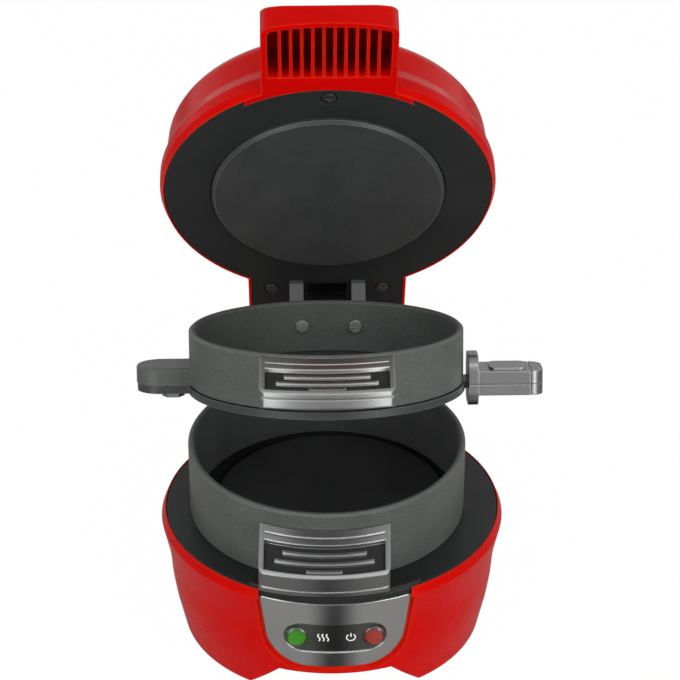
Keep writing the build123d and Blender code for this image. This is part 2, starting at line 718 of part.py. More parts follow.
def ring_wall(frame, ring_r, bottom, top):
    """A plain ring with its rim and foot eased."""
    ease = 0.8
    inner = ring_r - RING_WALL
    return turned(frame, [(ring_r, bottom + ease / 2), (ring_r, top - ease), (ring_r - ease, top),
                          (inner + ease, top), (inner, top - ease), (inner, bottom),
                          (ring_r - ease / 2, bottom)])


def radial_holes(frame, spots, radius, depth):
    """Round cutters through a ring's wall, square to its front or back; spots are (x, z, way)."""
    cutters = []
    for x, z, way in spots:
        face = Plane(origin=frame.from_local_coords((x, 0, z)), x_dir=frame.x_dir,
                     z_dir=frame.y_dir * way)
        with BuildPart() as cutter:
            with BuildSketch(face.offset(depth[0])):
                Circle(radius)
            extrude(amount=depth[1] - depth[0])
        cutters.append(cutter.part)
    return cutters


GRIP_SCREW_X = 17.0
RIVET_R = 1.5
LOWER_BOTTOM = DECK_Z + 0.1
LOWER_GRIP_TOP = LOWER_TOP - 7.0
LOWER_GRIP_FOOT = DECK_Z + 8.0
LOWER_GRIP_SCREW_Z = DECK_Z + 15.0
RIVET_X = 11.3
LOWER_ARM_RIVETS = [(-RIVET_X - RING_X, DECK_Z + 20.0, 1), (RIVET_X - RING_X, DECK_Z + 20.0, 1)]
LOWER_GRIP_SPOTS = [(-GRIP_SCREW_X, LOWER_GRIP_SCREW_Z, -1), (GRIP_SCREW_X, LOWER_GRIP_SCREW_Z, -1)]
GRIP_SCREW_TIP = 63.5

with BuildPart() as lower_ring:
    add(ring_wall(LOWER_RING, LOWER_R, LOWER_BOTTOM, LOWER_TOP))
    for cutter in radial_holes(LOWER_GRIP, LOWER_GRIP_SPOTS, RIVET_R + RUN, (40, 70)):
        add(cutter, mode=Mode.SUBTRACT)
    for cutter in radial_holes(LOWER_RING, LOWER_ARM_RIVETS, RIVET_R + RUN, (40, 70)):
        add(cutter, mode=Mode.SUBTRACT)
lower_ring.part.label = "lower_ring"
export_step(lower_ring.part, "parts/lower_ring.step")

with BuildPart() as lower_ring_grip:
    add(grip_body(LOWER_GRIP, LOWER_R, LOWER_GRIP_TOP, LOWER_GRIP_FOOT, LOWER_GRIP_EDGE, 0.74))
    for cutter in radial_holes(LOWER_GRIP, LOWER_GRIP_SPOTS, RIVET_R + RUN,
                               (40, GRIP_SCREW_TIP + 0.5)):
        add(cutter, mode=Mode.SUBTRACT)
lower_ring_grip.part.label = "lower_ring_grip"
export_step(lower_ring_grip.part, "parts/lower_ring_grip.step")


def wall_screws(frame, spots, ring_r, tip):
    """Low-headed screws driven from inside a ring's wall into what it carries."""
    head_h = 0.9
    group = []
    for x, z, way in spots:
        face = Plane(origin=frame.from_local_coords((x, 0, z)), x_dir=frame.x_dir,
                     z_dir=frame.y_dir * way)
        seat = sqrt((ring_r - RING_WALL) ** 2 - (abs(x) + 2.6) ** 2)
        with BuildPart() as screw:
            with BuildSketch(face.offset(seat - head_h)):
                Circle(2.6)
            extrude(amount=head_h)
            with BuildSketch(face.offset(seat - head_h)):
                Circle(RIVET_R)
            extrude(amount=tip - seat + head_h)
        group.append(screw.part)
    return group


with BuildPart() as lower_grip_screws:
    for piece in wall_screws(LOWER_GRIP, LOWER_GRIP_SPOTS, LOWER_R, GRIP_SCREW_TIP):
        add(piece)
lower_grip_screws.part.label = "lower_grip_screws"
export_step(lower_grip_screws.part, "parts/lower_grip_screws.step")

# ---------------------------------------------------------------- lower ring's hinge arm
ARM_FOOT_HALF = 14.5
LOWER_CHEEK_IN = 5.0
LOWER_CHEEK = 4.0
lower_foot = [(LOWER_R - 2.6, DECK_Z + 12.0), (LOWER_R + 2.6, DECK_Z + 12.0),
              (LOWER_R + 2.6, DECK_Z + 28.0), (LOWER_R - 2.6, DECK_Z + 28.0)]
lower_cheek = [(LOWER_R + 0.5, DECK_Z + 13.0), (LOWER_R + 0.5, DECK_Z + 28.0),
               (LOWER_R + 5.0, DECK_Z + 31.5), (HINGE_Y - 3.0, HINGE_Z + 5.1),
               (HINGE_Y + 5.3, HINGE_Z - 2.8), (LOWER_R + 9.0, DECK_Z + 20.0)]


def arm_foot(frame, ring_frame, points, ring_r, rivets):
    """The arm's flat foot, hollowed to its ring's wall and drilled for its rivets."""
    with BuildPart() as foot:
        with BuildSketch(side(frame, -ARM_FOOT_HALF)):
            with BuildLine():
                Polyline(*points, close=True)
            make_face()
        extrude(amount=2 * ARM_FOOT_HALF)
        with BuildSketch(ring_frame):
            Circle(ring_r + 0.05)
        extrude(amount=2 * FAR, mode=Mode.SUBTRACT)
        for cutter in radial_holes(ring_frame, rivets, RIVET_R + RUN, (40, 70)):
            add(cutter, mode=Mode.SUBTRACT)
    return foot.part


def pin_bore(frame):
    """A cutter for the hinge pin's running bore, right across the object."""
    with BuildPart() as cutter:
        with BuildSketch(side(frame, -FAR / 2)):
            with Locations((HINGE_Y, HINGE_Z)):
                Circle(PIN_R + RUN)
        extrude(amount=FAR)
    return cutter.part


with BuildPart() as lower_hinge_arm:
    add(arm_foot(LOWER, LOWER_RING, lower_foot, LOWER_R, LOWER_ARM_RIVETS))
    for cheek_x in (-LOWER_CHEEK_IN - LOWER_CHEEK, LOWER_CHEEK_IN):
        add(hinge_plate(LOWER, cheek_x, LOWER_CHEEK, lower_cheek, KNUCKLE_R, PIN_R + RUN))
    add(pin_bore(LOWER), mode=Mode.SUBTRACT)
lower_hinge_arm.part.label = "lower_hinge_arm"
export_step(lower_hinge_arm.part, "parts/lower_hinge_arm.step")

with BuildPart() as lower_arm_rivets:
    for piece in wall_screws(LOWER_RING, LOWER_ARM_RIVETS, LOWER_R, LOWER_R + 3.6):
        add(piece)
lower_arm_rivets.part.label = "lower_arm_rivets"
export_step(lower_arm_rivets.part, "parts/lower_arm_rivets.step")

# ================================================================ upper ring
LUG_TOP = UPPER_TOP - 14.6
LUG_R = 10.0
LUG_X = -67.0
UPPER_GRIP_TOP = UPPER_TOP - 1.0
UPPER_GRIP_FOOT = UPPER_BOTTOM + 1.0
UPPER_GRIP_SCREW_Z = UPPER_BOTTOM + 9.0
UPPER_ARM_RIVETS = [(-RIVET_X - RING_X, UPPER_BOTTOM + 11.0, 1),
                    (RIVET_X - RING_X, UPPER_BOTTOM + 11.0, 1)]
UPPER_GRIP_SPOTS = [(-GRIP_SCREW_X, UPPER_GRIP_SCREW_Z, -1), (GRIP_SCREW_X, UPPER_GRIP_SCREW_Z, -1)]

with BuildPart() as upper_ring:
    with BuildSketch(UPPER_RING.offset(UPPER_BOTTOM)):
        with Locations((LUG_X, 0)):
            Circle(LUG_R)
        with Locations((LUG_X / 2, 0)):
            Rectangle(-LUG_X, 2 * LUG_R)
    extrude(amount=LUG_TOP - UPPER_BOTTOM)
    fillet(upper_ring.edges().group_by(axis_of(UPPER_RING))[-1], 1.2)
    with BuildSketch(UPPER_RING):
        Circle(UPPER_R - 1)
    extrude(amount=2 * FAR, mode=Mode.SUBTRACT)
    add(ring_wall(UPPER_RING, UPPER_R, UPPER_BOTTOM, UPPER_TOP))
    with BuildSketch(UPPER_RING.offset(UPPER_BOTTOM)):
        with Locations((PIVOT_X, 0)):
            Circle(PIVOT_R + 0.02)
    extrude(amount=4.0, mode=Mode.SUBTRACT)
    for cutter in radial_holes(UPPER_GRIP, UPPER_GRIP_SPOTS, RIVET_R + RUN, (40, 70)):
        add(cutter, mode=Mode.SUBTRACT)
    for cutter in radial_holes(UPPER_RING, UPPER_ARM_RIVETS, RIVET_R + RUN, (40, 70)):
        add(cutter, mode=Mode.SUBTRACT)
upper_ring.part.label = "upper_ring"
export_step(upper_ring.part, "parts/upper_ring.step")

with BuildPart() as upper_ring_grip:
    add(grip_body(UPPER_GRIP, UPPER_R, UPPER_GRIP_TOP, UPPER_GRIP_FOOT, UPPER_GRIP_EDGE, 0.43))
    for cutter in radial_holes(UPPER_GRIP, UPPER_GRIP_SPOTS, RIVET_R + RUN,
                               (40, GRIP_SCREW_TIP - 1.2)):
        add(cutter, mode=Mode.SUBTRACT)
upper_ring_grip.part.label = "upper_ring_grip"
export_step(upper_ring_grip.part, "parts/upper_ring_grip.step")

with BuildPart() as upper_grip_screws:
    for piece in wall_screws(UPPER_GRIP, UPPER_GRIP_SPOTS, UPPER_R, GRIP_SCREW_TIP - 1.7):
        add(piece)
upper_grip_screws.part.label = "upper_grip_screws"
export_step(upper_grip_screws.part, "parts/upper_grip_screws.step")

# ---------------------------------------------------------------- upper ring's hinge arm
UPPER_TONGUE_HALF = 4.4
upper_foot = [(UPPER_R - 2.6, UPPER_BOTTOM + 4.0), (UPPER_R + 2.6, UPPER_BOTTOM + 4.0),
              (UPPER_R + 2.6, UPPER_BOTTOM + 18.0), (UPPER_R - 2.6, UPPER_BOTTOM + 18.0)]
upper_tongue = [(UPPER_R + 0.5, UPPER_BOTTOM + 4.0), (UPPER_R + 0.5, UPPER_BOTTOM + 18.0),
                (UPPER_R + 5.0, UPPER_BOTTOM + 18.0), (HINGE_Y + 4.6, HINGE_Z + 3.8),
                (HINGE_Y - 3.0, HINGE_Z - 5.1)]

with BuildPart() as upper_hinge_arm:
    add(arm_foot(UPPER, UPPER_RING, upper_foot, UPPER_R, UPPER_ARM_RIVETS))
    add(hinge_plate(UPPER, -UPPER_TONGUE_HALF, 2 * UPPER_TONGUE_HALF, upper_tongue, KNUCKLE_R,
                    PIN_R + RUN))
    add(pin_bore(UPPER), mode=Mode.SUBTRACT)
upper_hinge_arm.part.label = "upper_hinge_arm"
export_step(upper_hinge_arm.part, "parts/upper_hinge_arm.step")

with BuildPart() as upper_arm_rivets:
    for piece in wall_screws(UPPER_RING, UPPER_ARM_RIVETS, UPPER_R, UPPER_R + 3.6):
        add(piece)
upper_arm_rivets.part.label = "upper_arm_rivets"
export_step(upper_arm_rivets.part, "parts/upper_arm_rivets.step")

# ---------------------------------------------------------------- pivot stud and its fastener
with BuildPart() as pivot_stud:
    with BuildSketch(UPPER_RING.offset(PLATE_BOTTOM - 2.6)):
        with Locations((PIVOT_X, 0)):
            Circle(PIVOT_R)
    extrude(amount=UPPER_BOTTOM + 3.9 - PLATE_BOTTOM + 2.6)
pivot_stud.part.label = "pivot_stud"
export_step(pivot_stud.part, "parts/pivot_stud.step")

with BuildPart() as pivot_washer:
    with BuildSketch(UPPER_RING.offset(PLATE_BOTTOM - 0.1)):
        with Locations((PIVOT_X, 0)):
            Circle(5.2)
            Circle(PIVOT_R + 0.02, mode=Mode.SUBTRACT)
    extrude(amount=-1.0)
pivot_washer.part.label = "pivot_washer"
export_step(pivot_washer.part, "parts/pivot_washer.step")

with BuildPart() as pivot_nut:
    with BuildSketch(UPPER_RING.offset(PLATE_BOTTOM - 1.15)):
        with Locations((PIVOT_X, 0)):
            RegularPolygon(4.6, 6)
            Circle(PIVOT_R + 0.02, mode=Mode.SUBTRACT)
    extrude(amount=-1.7)
pivot_nut.part.label = "pivot_nut"
export_step(pivot_nut.part, "parts/pivot_nut.step")

# ================================================================ egg plate and its handle
HANDLE_IN = 57.4
HANDLE_OUT = 87.7
GRIP_LOW = UPPER_BOTTOM - 5.8
GRIP_HIGH = UPPER_BOTTOM + 4.2
PARTING_Z = UPPER_BOTTOM - 1.3
GUARD_OUT = 61.4
GUARD_LOW = UPPER_BOTTOM - 10.8
GUARD_HIGH = UPPER_BOTTOM + 10.2
HANDLE_SIDE_HALF = 9.0
TONGUE_HALF = 6.0
TONGUE_END = 76.0
HANDLE_SCREW_X = 70.0

with BuildPart() as egg_plate:
    with BuildSketch(UPPER_RING.offset(PLATE_BOTTOM)):
        Circle(PLATE_R)
        with Locations((LUG_X, 0)):
            Circle(LUG_R - 0.3)
        with Locations((LUG_X / 2, 0)):
            Rectangle(-LUG_X, 2 * LUG_R - 0.6)
        with Locations((TONGUE_END / 2, 0)):
            Rectangle(TONGUE_END, 2 * TONGUE_HALF)
        with Locations((PIVOT_X, 0)):
            Circle(PIVOT_R + RUN, mode=Mode.SUBTRACT)
        with Locations((HANDLE_SCREW_X, 0)):
            Circle(SCREW_R + RUN, mode=Mode.SUBTRACT)
    extrude(amount=PLATE_TOP - PLATE_BOTTOM)
egg_plate.part.label = "egg_plate"
export_step(egg_plate.part, "parts/egg_plate.step")


def handle_half(low, high, guard_low, guard_high, way):
    """Half of the egg plate's handle, above (way 1) or below (way -1) the parting line."""
    parting = low if way > 0 else high
    with BuildPart() as half:
        with BuildSketch(UPPER_RING.offset(low)):
            with Locations(((HANDLE_IN + HANDLE_OUT) / 2, 0)):
                RectangleRounded(HANDLE_OUT - HANDLE_IN, 2 * HANDLE_SIDE_HALF, 5.0)
            with Locations((HANDLE_IN + 5, 0)):
                Rectangle(10, 2 * HANDLE_SIDE_HALF - 3)
        extrude(amount=high - low)
        with BuildSketch(side(UPPER_RING, HANDLE_IN)):
            with Locations((0, (guard_low + guard_high) / 2)):
                RectangleRounded(2 * HANDLE_SIDE_HALF, guard_high - guard_low, 6.0)
        extrude(amount=GUARD_OUT - HANDLE_IN)
        # the guard is cut off square where the halves meet
        with BuildSketch(UPPER_RING.offset(parting)):
            Rectangle(4 * FAR, 4 * FAR)
        extrude(amount=way * FAR, mode=Mode.INTERSECT)
        with BuildSketch(UPPER_RING.offset(PLATE_BOTTOM - RUN)):
            with Locations((TONGUE_END / 2, 0)):
                Rectangle(TONGUE_END + 2 * RUN, 2 * TONGUE_HALF + 2 * RUN)
        extrude(amount=PLATE_TOP - PLATE_BOTTOM + 2 * RUN, mode=Mode.SUBTRACT)
        # shallow groove round the end cap
        with BuildSketch(side(UPPER_RING, HANDLE_OUT - 5.2)):
            with Locations((0, (GRIP_LOW + GRIP_HIGH) / 2)):
                Rectangle(40, 40)
                Rectangle(2 * HANDLE_SIDE_HALF - 0.8, GRIP_HIGH - GRIP_LOW - 0.8,
                          mode=Mode.SUBTRACT)
        extrude(amount=0.45, mode=Mode.SUBTRACT)
        with BuildSketch(UPPER_RING.offset(PLATE_BOTTOM - FAR / 2)):
            with Locations((HANDLE_SCREW_X, 0)):
                Circle(SCREW_R + RUN)
        extrude(amount=FAR / 2 + 7.0, mode=Mode.SUBTRACT)
    return half.part


with BuildPart() as plate_handle_top:
    add(handle_half(PARTING_Z + FIT / 2, GRIP_HIGH, PARTING_Z - 6, GUARD_HIGH, 1))
    with BuildSketch(UPPER_RING.offset(GRIP_HIGH)):
        with Locations((73.5, 0)):
            RectangleRounded(15.0, 13.0, 3.0)
    extrude(amount=0.9)
plate_handle_top.part.label = "plate_handle_top"
export_step(plate_handle_top.part, "parts/plate_handle_top.step")

with BuildPart() as plate_handle_bottom:
    add(handle_half(GRIP_LOW, PARTING_Z - FIT / 2, GUARD_LOW, PARTING_Z + 6, -1))
    with BuildSketch(UPPER_RING.offset(GRIP_LOW)):
        with Locations((HANDLE_SCREW_X, 0)):
            Circle(2.7)
    extrude(amount=0.9, mode=Mode.SUBTRACT)
plate_handle_bottom.part.label = "plate_handle_bottom"
export_step(plate_handle_bottom.part, "parts/plate_handle_bottom.step")

with BuildPart() as plate_handle_screw:
    add(screws(UPPER_RING, [(HANDLE_SCREW_X, 0)], GRIP_LOW, GRIP_LOW + 7.5, head_r=2.5, head_h=0.85))
plate_handle_screw.part.label = "plate_handle_screw"
export_step(plate_handle_screw.part, "parts/plate_handle_screw.step")

# ================================================================ lid
# ---------------------------------------------------------------- red lid shell with its handle
LID_BLOCK_BACK = 85.5
LID_BLOCK_TOP = LID_Z + 17.0
LINER_H = 2.6
LINER_NOTCH_R = 65.8     # the liner's radius between its two front notches
LINER_TAIL_HALF = BLOCK_HALF - 1.4   # the liner's half width over the rear block
LINER_INSET = 0.3        # the liner's face lies this much inside the lip
SEAT_Z = LID_Z + LINER_INSET + LINER_H

NECK_R, NECK_H = 67.9, 13.5      # the dome steps in above the lip to this neck
BROW_R, BROW_H = 66.4, 31.8      # the dome's rounded shoulder

lid_lip = [(0, LID_Z), (LINER_R + 0.5, LID_Z)]
lid_dome = [
    (LID_LIP_R, LID_Z + 3.0), (LID_LIP_R, LID_Z + 8.0), (NECK_R, LID_Z + NECK_H),
    (BROW_R, LID_Z + BROW_H), (30.0, LID_Z + LID_H), (0, LID_Z + LID_H)]
dome_radii = [3.0, 3.5, 8.0, 600.0]
lid_inner = [
    (0, LID_Z - 1), (LID_LIP_R - WALL - 2, LID_Z - 1), (LID_LIP_R - WALL - 2, SEAT_Z),
    (LID_LIP_R - WALL, SEAT_Z + 1.5), (LID_LIP_R - WALL, LID_Z + 7.0),
    (NECK_R - WALL, LID_Z + NECK_H - 1), (BROW_R + 0.4 - WALL, LID_Z + 24.0),
    (BROW_R - 3.9, LID_Z + 27.6), (BROW_R - 8.0, LID_Z + 29.3), (0, LID_Z + LID_H - WALL)]
handle_outline = [
    (-40.0, LID_Z), (-HANDLE_REACH, LID_Z), (-HANDLE_REACH, LID_Z + HANDLE_END_H - 1.5),
    (-HANDLE_REACH + 1.5, LID_Z + HANDLE_END_H), (-92.0, LID_Z + 13.6), (-78.0, LID_Z + 17.6),
    (-66.0, LID_Z + 20.6), (-56.0, LID_Z + 22.0), (-40.0, LID_Z + 22.0)]
block_outline = [
    (40.0, LID_Z), (LID_BLOCK_BACK, LID_Z), (LID_BLOCK_BACK, LID_BLOCK_TOP - 6.0),
    (LID_BLOCK_BACK - 3.0, LID_BLOCK_TOP - 2.0), (LID_BLOCK_BACK - 8.0, LID_BLOCK_TOP),
    (60.0, LID_Z + 20.5), (40.0, LID_Z + 22.0)]
HANDLE_WALL = 2.6
POCKET_FRONT = 73.4      # the handle's finger hollow runs from here to its end wall
POCKET_ROOF_DROP = 3.0
HANDLE_ARC_R = 110.0     # plan radius of the handle's outer end


def side_slab(frame, outline, half_width):
    """An outline of (y, z) points extruded to both sides of the leaf's middle."""
    with BuildPart() as slab:
        with BuildSketch(side(frame)):
            with BuildLine():
                Polyline(*outline, close=True)
            make_face()
        extrude(amount=half_width, both=True)
    return slab.part


def handle_plan(reach, half_width, corner_r):
    """The handle's plan: straight sides, a gently arced outer end and rounded corners."""
    end_fall = half_width ** 2 / (2 * HANDLE_ARC_R)
    with BuildSketch() as plan:
        with BuildLine():
            Line((half_width, -30), (-half_width, -30))
            Line((-half_width, -30), (-half_width, -reach + end_fall))
            ThreePointArc((-half_width, -reach + end_fall), (0, -reach),
                          (half_width, -reach + end_fall))
            Line((half_width, -reach + end_fall), (half_width, -30))
        make_face()
        fillet(plan.vertices().group_by(Axis.Y)[0], corner_r)
    return plan.sketch


with BuildPart() as handle_solid:
    add(side_slab(LID, handle_outline, HANDLE_HALF))
    with BuildSketch(LID.offset(LID_Z)):
        add(handle_plan(HANDLE_REACH, HANDLE_HALF, 5.0))
    extrude(amount=FAR / 2, mode=Mode.INTERSECT)

pocket_outline = [
    (-POCKET_FRONT, LID_Z - 1), (-HANDLE_REACH, LID_Z - 1),
    (-HANDLE_REACH, LID_Z + HANDLE_END_H - POCKET_ROOF_DROP),
    (-92.0, LID_Z + 13.6 - POCKET_ROOF_DROP), (-78.0, LID_Z + 17.6 - POCKET_ROOF_DROP),
    (-POCKET_FRONT, LID_Z + 18.0 - POCKET_ROOF_DROP)]
with BuildPart() as handle_pocket:
    add(side_slab(LID, pocket_outline, HANDLE_HALF - HANDLE_WALL))
    with BuildSketch(LID.offset(LID_Z - 1)):
        add(handle_plan(HANDLE_REACH - HANDLE_WALL, HANDLE_HALF - HANDLE_WALL, 2.6))
    extrude(amount=FAR / 2, mode=Mode.INTERSECT)

rib_outline = [
    (-POCKET_FRONT + 1.0, LID_Z + 0.6), (-HANDLE_REACH + 4.0, LID_Z + 3.2),
    (-HANDLE_REACH + 2.0, LID_Z + HANDLE_END_H - 2.0), (-92.0, LID_Z + 12.0),
    (-78.0, LID_Z + 16.0), (-POCKET_FRONT + 1.0, LID_Z + 17.0)]

with BuildPart() as lid_shell:
    add(turned(LID, lid_lip, lid_dome, dome_radii))
    add(handle_solid.part)
    add(side_slab(LID, block_outline, BLOCK_HALF))
    add(turned(LID, lid_inner), mode=Mode.SUBTRACT)
    # the liner's seat: round, drawn in between the front notches, run out over the block
    with BuildSketch(LID.offset(LID_Z - 1)):
        Circle(LINER_R + FIT)
        with Locations((0, -FAR / 2 - 40)):
            Rectangle(2 * NOTCH_HALF - 0.4, FAR, mode=Mode.SUBTRACT)
        Circle(LINER_NOTCH_R + FIT)
        with Locations((0, LID_BLOCK_BACK / 2 - WALL / 2 + 20)):
            Rectangle(2 * LINER_TAIL_HALF + 2 * FIT, LID_BLOCK_BACK - WALL - 40)
    extrude(amount=SEAT_Z - LID_Z + 1, mode=Mode.SUBTRACT)
    # the block's cavity
    with BuildSketch(LID.offset(LID_Z)):
        with Locations((0, 62.0)):
            Rectangle(2 * (BLOCK_HALF - WALL) - 3, 2 * (LID_BLOCK_BACK - WALL - 62.0) - 3)
    extrude(amount=11.0, mode=Mode.SUBTRACT)
    add(handle_pocket.part, mode=Mode.SUBTRACT)
    for i in range(RIB_COUNT):
        x = (i - (RIB_COUNT - 1) / 2) * RIB_PITCH
        with BuildSketch(side(LID, x - RIB_THICK / 2)):
            with BuildLine():
                Polyline(*rib_outline, close=True)
            make_face()
        extrude(amount=RIB_THICK)
    # boss for the front liner screw, run out to the wall
    with BuildSketch(LID.offset(SEAT_Z)):
        with Locations((0, -61.7)):
            SlotCenterToCenter(2.4, 8.0, rotation=90)
        with Locations((0, -60.5)):
            Circle(SCREW_R + RUN, mode=Mode.SUBTRACT)
    extrude(amount=13.0)
lid_shell.part.label = "lid_shell"
export_step(lid_shell.part, "parts/lid_shell.step")

# ---------------------------------------------------------------- dark liner
LINER_SCREWS = [(0, -60.5), (-24.4, 67.0), (24.4, 67.0)]
ARM_IN = 10.5
ARM_THICK = 6.1
ARM_FRONT = 61.5
ARM_BACK = 80.8
POCKET_HALF = 9.4

with BuildPart() as lid_liner:
    with BuildSketch(LID.offset(LID_Z + LINER_INSET)):
        Circle(LINER_R)
        with Locations((0, -FAR / 2 - 40)):
            Rectangle(2 * NOTCH_HALF, FAR, mode=Mode.SUBTRACT)
        Circle(LINER_NOTCH_R)
        with Locations((0, LID_BLOCK_BACK / 2 - WALL / 2 + 20)):
            Rectangle(2 * LINER_TAIL_HALF, LID_BLOCK_BACK - WALL - 40 - 2 * FIT)
    extrude(amount=LINER_H - 0.05)
    chamfer(lid_liner.edges().group_by(axis_of(LID))[0], 0.4)
    with BuildSketch(LID.offset(LID_Z)):
        Circle(HOT_PLATE_R + 0.5)
        with Locations(*LINER_SCREWS):
            Circle(SCREW_R + RUN)
        # slots for the two hinge arms
        for way in (-1, 1):
            with Locations((way * (ARM_IN + ARM_THICK / 2), (ARM_FRONT + ARM_BACK) / 2)):
                Rectangle(ARM_THICK + 2 * FIT, ARM_BACK - ARM_FRONT + 2 * FIT)
    extrude(amount=10, mode=Mode.SUBTRACT)
    with BuildSketch(LID.offset(LID_Z)):
        with Locations(*LINER_SCREWS):
            Circle(3.6)
    extrude(amount=LINER_INSET + 0.8, mode=Mode.SUBTRACT)
    # closed pocket between the arms, over the rings' knuckles
    with BuildSketch(LID.offset(SEAT_Z - 0.5)):
        with Locations((0, 72.0)):
            Rectangle(2 * POCKET_HALF + 1.4, 19.0)
    extrude(amount=6.5)
    with BuildSketch(LID.offset(LID_Z)):
        with Locations((0, 72.0)):
            Rectangle(2 * POCKET_HALF - 1.0, 16.6)
    extrude(amount=7.5, mode=Mode.SUBTRACT)
lid_liner.part.label = "lid_liner"
export_step(lid_liner.part, "parts/lid_liner.step")

with BuildPart() as liner_screws:
    add(screws(LID, LINER_SCREWS, LID_Z + 0.1, LID_Z + 9.5, head_r=2.7, head_h=0.95))
liner_screws.part.label = "liner_screws"
export_step(liner_screws.part, "parts/liner_screws.step")

# ---------------------------------------------------------------- lid's heated plate and heater
upper_plate_part, upper_plate_rear = hot_plate(LID, LID_Z + LINER_INSET - HOT_PLATE_RISE, -1)

with BuildPart() as upper_heating_plate:
    add(upper_plate_part)
upper_heating_plate.part.label = "upper_heating_plate"
export_step(upper_heating_plate.part, "parts/upper_heating_plate.step")

with BuildPart() as upper_heating_element:
    add(heater(LID, upper_plate_rear, -1))
upper_heating_element.part.label = "upper_heating_element"
export_step(upper_heating_element.part, "parts/upper_heating_element.step")

with BuildPart() as lid_heat_shield:
    add(shield(LID, upper_plate_rear, -1))
lid_heat_shield.part.label = "lid_heat_shield"
export_step(lid_heat_shield.part, "parts/lid_heat_shield.step")

# ---------------------------------------------------------------- lid's hinge arms
ARM_FOOT_OUT = 29.0
arm_outline = [(ARM_FRONT, SEAT_Z + 0.1), (ARM_BACK, SEAT_Z + 0.1), (ARM_BACK, HINGE_Z),
               (HINGE_Y - 6.4, HINGE_Z + 2.8), (ARM_FRONT, LID_Z - 1.5)]


def lid_arm(way):
    """One lid arm: a bored plate through the liner, with a foot screwed down inside the lid."""
    inner = ARM_IN if way > 0 else -ARM_IN - ARM_THICK
    with BuildPart() as arm:
        add(hinge_plate(LID, inner, ARM_THICK, arm_outline, EAR_R, PIN_R + RUN))
        with BuildSketch(LID.offset(SEAT_Z)):
            with Locations((way * (ARM_IN + ARM_FOOT_OUT) / 2, (ARM_FRONT + ARM_BACK) / 2)):
                Rectangle(ARM_FOOT_OUT - ARM_IN, ARM_BACK - ARM_FRONT)
        extrude(amount=2.5)
        with BuildSketch(LID.offset(LID_Z)):
            with Locations((way * 24.4, 67.0)):
                Circle(SCREW_R + RUN)
        extrude(amount=20, mode=Mode.SUBTRACT)
        add(pin_bore(LID), mode=Mode.SUBTRACT)
    return arm.part


with BuildPart() as lid_hinge_arm_left:
    add(lid_arm(-1))
lid_hinge_arm_left.part.label = "lid_hinge_arm_left"
export_step(lid_hinge_arm_left.part, "parts/lid_hinge_arm_left.step")

with BuildPart() as lid_hinge_arm_right:
    add(lid_arm(1))
lid_hinge_arm_right.part.label = "lid_hinge_arm_right"
export_step(lid_hinge_arm_right.part, "parts/lid_hinge_arm_right.step")
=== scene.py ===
import json
from math import cos, pi, radians, sin

import bpy
import numpy as np
from mathutils import Matrix, Vector


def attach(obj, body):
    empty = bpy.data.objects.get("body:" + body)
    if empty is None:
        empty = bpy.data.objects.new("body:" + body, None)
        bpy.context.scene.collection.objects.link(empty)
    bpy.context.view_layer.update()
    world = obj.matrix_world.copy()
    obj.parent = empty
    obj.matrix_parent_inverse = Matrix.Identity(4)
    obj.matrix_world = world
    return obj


# Breakfast sandwich maker: red moulded base and lid, two coated cooking rings with grey grips,
# a swinging egg plate between them, and two indicator lights. Metres; +Z up, -Y to the front.

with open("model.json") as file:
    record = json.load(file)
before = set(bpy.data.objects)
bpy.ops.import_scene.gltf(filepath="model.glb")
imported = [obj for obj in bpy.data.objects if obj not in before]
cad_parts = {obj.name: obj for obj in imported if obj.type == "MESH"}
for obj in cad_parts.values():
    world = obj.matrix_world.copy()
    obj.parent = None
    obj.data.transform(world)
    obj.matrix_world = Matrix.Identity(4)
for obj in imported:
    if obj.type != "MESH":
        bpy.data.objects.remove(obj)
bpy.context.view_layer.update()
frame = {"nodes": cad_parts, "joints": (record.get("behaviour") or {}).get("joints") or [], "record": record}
nodes = frame["nodes"]

# ---------------------------------------------------------------- named places and sizes
MM = 0.001
joint = {j["name"]: j for j in frame["joints"]}
HINGE = Vector(joint["lid_hinge"]["pos_m"])
HINGE_BACK = 74 * MM                 # from the base's upright axis back to the hinge pin
BASE_X = HINGE.x                     # that axis
BASE_Y = HINGE.y - HINGE_BACK
DECK_Z = 54 * MM                     # top of the base's deck
RING_X = -2 * MM                     # the rings sit this much to the left of the axis
LOWER_R = 57 * MM                    # outside radii of the two rings
UPPER_R = 55.6 * MM
UPPER_OPEN = radians(17.74)          # how far the upper ring stands open at rest
LOWER_GRIP_TURN = radians(-1.9)      # how far each grip stands off the front, round its ring
UPPER_GRIP_TURN = radians(-0.6)
LOWER_GRIP_TOP = DECK_Z + 24 * MM    # height of each grip's top at its ring, with the ring closed
UPPER_GRIP_TOP = DECK_Z + 55.5 * MM
GRIP_REACH = 20 * MM                 # how far a grip stands out, and how far its face falls
GRIP_FALL = 8.6 * MM
RECESS_IN = 0.335                    # a grip's recess, as shares of its reach
RECESS_OUT = 0.925
RECESS_HALF = 23.6 * MM
RECESS_TOP = 1.45 * MM               # the recess floor's upper and lower side, below the face
RECESS_UNDER = 1.7 * MM
PANEL_LOW = DECK_Z - 37 * MM         # the panel leans outwards from its foot up to its top
PANEL_HEIGHT = 33.7 * MM
PANEL_LOW_R = 64.9 * MM
PANEL_LEAN = 4.1 * MM
LABEL_DEPTH = 0.5 * MM               # the shallow recess round the lights
LABEL_HALF_L = 20.3 * MM
LABEL_HALF_H = 7.3 * MM
LIGHT_X = 15.4 * MM                  # the indicator lights stand this far off the panel's middle
LIGHT_Z = DECK_Z - 21.2 * MM
LIGHT_R = 5 * MM
LABEL_Z = LIGHT_Z - 0.5 * MM         # the recess's middle


